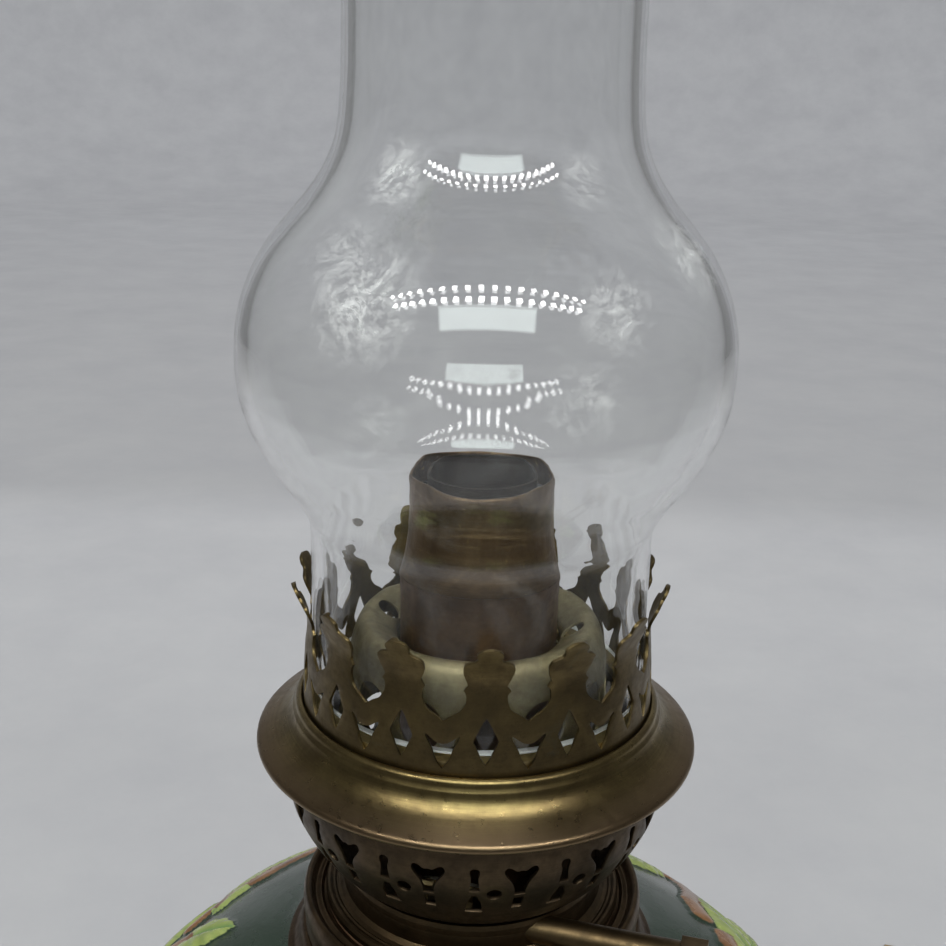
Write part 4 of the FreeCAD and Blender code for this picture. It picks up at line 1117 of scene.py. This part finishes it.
foot_out = [(58.2, 0.0), (59.6, 0.25), (60.0, 1.2), (59.8, 2.6), (58.9, 3.4), (57.6, 3.8),
            (57.0, 4.6), (56.6, 6.4), (55.2, 8.2), (52.6, 9.6), (49.0, 10.9), (45.4, 12.4),
            (43.6, 13.6), (43.3, 14.9), (41.6, 16.0), (38.2, 17.6), (34.4, 20.0), (31.2, 23.2),
            (28.8, 27.0), (27.4, 31.0), (27.0, 34.6), (27.9, 36.0), (28.6, 37.4), (27.9, 38.8), (27.4, 40.2),
            (28.6, 43.0), (30.6, 45.6), (33.2, 47.6), (35.0, 48.65)]
foot_in = [(3.2, 48.65), (3.2, 47.4), (31.6, 47.4), (29.6, 46.0), (27.4, 43.2), (26.3, 40.4), (26.4, 38.6),
           (27.2, 37.4), (26.5, 36.2), (25.8, 34.6), (26.2, 30.8), (27.7, 26.4), (30.3, 22.4),
           (33.7, 19.0), (37.7, 16.5), (41.2, 14.9), (42.1, 14.2), (42.4, 13.0), (44.8, 11.3),
           (48.6, 9.7), (52.0, 8.5), (54.3, 7.3), (55.5, 5.8), (56.0, 4.0), (56.0, 1.6), (56.4, 0.0)]
foot = lathe("spun_foot", foot_out + foot_in, M_FOOT, base=0.0, seg=256)
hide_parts("base_foot")
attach(foot, "lamp_body")

# ------------------------------------------------------------------ stage
def floor_mat(name, near, far):
    m, nt, out = nodes_of(name)
    tc = nt.nodes.new("ShaderNodeTexCoord")
    sep = nt.nodes.new("ShaderNodeSeparateXYZ")
    nt.links.new(tc.outputs["Object"], sep.inputs[0])
    b = nt.nodes.new("ShaderNodeBsdfPrincipled")
    r = math_node(nt, "SQRT", math_node(nt, "ADD", math_node(nt, "POWER", math_node(nt, "MULTIPLY", sep.outputs[0], 0.35), 2.0), math_node(nt, "POWER", sep.outputs[1], 2.0)))
    # painted light and shade: darker and lighter bands by distance from the lamp stand in for how the studio light
    # falls across floor and backdrop
    t = ramp(nt, math_node(nt, "MULTIPLY", r, 1.0 / 3.5), [(0.100, 0.05), (0.146, 0.21), (0.192, 0.263), (0.215, 0.01), (0.266, 0.075), (0.386, 0.30), (0.629, 0.87), (0.857, 1.0)])
    base = mix_col(nt, t, near, far)
    n1 = noise_tex(nt, tc.outputs["Object"], 11.0, 6, 0.68)
    base = mix_col(nt, ramp(nt, n1, [(0.35, 0.0), (0.68, 1.0)]), base, mix_col(nt, 0.16, base, (0.20, 0.20, 0.24)))
    nt.links.new(base, b.inputs["Base Color"])
    b.inputs["Roughness"].default_value = 0.85
    nt.links.new(b.outputs[0], out.inputs[0])
    return m


def backdrop():
    """Pale floor that curves up into a backdrop all round."""
    prof = []
    for i in range(12):
        prof.append((2.6 * i / 11, 0.0))
    for i in range(1, 17):
        a = math.pi / 2 * i / 16
        prof.append((2.6 + 0.9 * math.sin(a), 0.9 * (1 - math.cos(a))))
    prof.append((3.5, 3.2))
    seg = 96
    verts = [Vector((0, 0, 0))]
    for (r, h) in prof[1:]:
        for s in range(seg):
            a = 2 * math.pi * s / seg
            verts.append(Vector((r * math.cos(a), r * math.sin(a), h)))
    faces = [(0, 1 + s, 1 + (s + 1) % seg) for s in range(seg)]
    for i in range(len(prof) - 2):
        for s in range(seg):
            a = 1 + i * seg + s
            b = 1 + i * seg + (s + 1) % seg
            faces.append((a, a + seg, b + seg, b))
    return new_object("floor", verts, faces, floor_mat("pale_floor", (0.388, 0.388, 0.391), (0.642, 0.644, 0.654)), 180)


floor = backdrop()


def emit_mat(name, strength, col=(1, 1, 1)):
    m, nt, out = nodes_of(name)
    e = nt.nodes.new("ShaderNodeEmission")
    e.inputs["Color"].default_value = (*col, 1)
    e.inputs["Strength"].default_value = strength
    nt.links.new(e.outputs[0], out.inputs[0])
    return m


AIM = Vector((0, 0, ZR + 0.075))


def quads(name, centres, w, h, mat):
    verts, faces = [], []
    for c in centres:
        n = (AIM - c).normalized()
        x = n.cross(Vector((0, 0, 1))).normalized()
        y = x.cross(n).normalized()
        o = len(verts)
        verts += [c - x * w / 2 - y * h / 2, c + x * w / 2 - y * h / 2, c + x * w / 2 + y * h / 2, c - x * w / 2 + y * h / 2]
        faces.append((o, o + 1, o + 2, o + 3))
    ob = new_object(name, verts, faces, mat)
    ob.visible_camera = False
    ob.visible_shadow = False
    return ob


D = 0.75
zc = ZR + 0.075


def flags():
    """Dark cards round the front and sides and over the floor in front, seen only in reflections."""
    verts, faces = [], []
    n = 48
    rows = [(0.36, 0.004), (0.9, 0.004), (1.55, 0.01), (1.55, 0.8), (1.55, 1.6), (1.5, 2.2), (1.2, 2.9), (0.75, 3.3)]
    for i in range(n + 1):
        a = math.radians(-148.0 + 296.0 * i / n)
        for rr_, hh in rows:
            verts.append(Vector((rr_ * math.sin(a), -rr_ * math.cos(a), hh)))
    m_ = len(rows)
    for i in range(n):
        for j in range(m_ - 1):
            if j < 1 and abs(-148.0 + 296.0 * (i + 0.5) / n) > 100.0:
                continue
            faces.append((m_ * i + j, m_ * i + j + 1, m_ * (i + 1) + j + 1, m_ * (i + 1) + j))
    m, nt, out = nodes_of("dark_card")
    b = nt.nodes.new("ShaderNodeBsdfPrincipled")
    tc = nt.nodes.new("ShaderNodeTexCoord")
    sep = nt.nodes.new("ShaderNodeSeparateXYZ")
    nt.links.new(tc.outputs["Object"], sep.inputs[0])
    yy = math_node(nt, "ADD", math_node(nt, "MULTIPLY", sep.outputs[1], 0.5), 0.5)
    rad = math_node(nt, "SQRT", math_node(nt, "ADD", math_node(nt, "POWER", sep.outputs[0], 2.0), math_node(nt, "POWER", sep.outputs[1], 2.0)))
    low = math_node(nt, "MULTIPLY", ramp(nt, math_node(nt, "MULTIPLY", rad, 0.5), [(0.46, 1.0), (0.76, 0.0)]), ramp(nt, yy, [(0.60, 0.0), (0.76, 1.0)]))
    nt.links.new(mix_col(nt, low, ramp(nt, yy, [(0.30, 0.10), (0.72, 0.17), (1.0, 0.27)]), (0.42, 0.42, 0.42)), b.inputs["Base Color"])
    b.inputs["Roughness"].default_value = 0.9
    nt.links.new(b.outputs[0], out.inputs[0])
    ob = new_object("dark_cards", verts, faces, m)
    ob.visible_camera = False
    ob.visible_diffuse = False
    ob.visible_shadow = False
    return ob


cards = flags()
panel = quads("window_panel", [Vector((0, -1.1, zc + 0.86))], 1.0, 0.30, emit_mat("panel_light", 5.0, (0.90, 1.0, 0.965)))
n_led = 18
row1 = [Vector((-0.965 + 1.93 * i / (n_led - 1), -D, zc + D * 1.36)) for i in range(n_led)]
row2 = [Vector((-0.82 + 1.64 * i / (n_led - 1), -D, zc + D * 1.07)) for i in range(n_led)]
leds = quads("led_rows", row1 + row2, 0.042, 0.055, emit_mat("led_light", 34.0))

w = bpy.data.worlds.new("studio")
bpy.context.scene.world = w
w.use_nodes = True
wn = w.node_tree
wn.nodes["Background"].inputs[0].default_value = (0.96, 0.975, 1.0, 1)
wn.nodes["Background"].inputs[1].default_value = 0.80


def area(name, loc, size, power, size_y=None, col=(1, 1, 1)):
    l = bpy.data.lights.new(name, "AREA")
    l.shape = "RECTANGLE"
    l.size = size
    l.size_y = size_y or size
    l.energy = power
    l.color = col
    ob = bpy.data.objects.new(name, l)
    bpy.context.scene.collection.objects.link(ob)
    ob.location = loc
    ob.rotation_euler = (AIM - Vector(loc)).to_track_quat("-Z", "Y").to_euler()
    ob.visible_glossy = False
    ob.visible_transmission = False
    return ob


area("key", (-0.5, -0.9, 1.5), 1.2, 5.0)
area("top", (0.0, 0.3, 1.9), 1.6, 7.0)
area("back_left", (-1.3, 0.9, 1.0), 0.9, 2.5)
area("back_right", (1.3, 0.9, 1.0), 0.9, 2.5)

# ------------------------------------------------------------------ camera
cam = bpy.data.cameras.new("camera")
cam.lens = 48.98
cam.sensor_width = 36.0
cam.clip_start = 0.01
cam.clip_end = 20.0
co = bpy.data.objects.new("camera", cam)
bpy.context.scene.collection.objects.link(co)
co.matrix_world = (Matrix.Translation(Vector((-0.00147, -0.1880, ZR + 0.1051))) @
                   Matrix.Rotation(math.radians(90.0) - 0.3163, 4, "X") @ Matrix.Rotation(0.0238, 4, "Z"))
bpy.context.scene.camera = co
bpy.context.scene.view_settings.view_transform = "Standard"
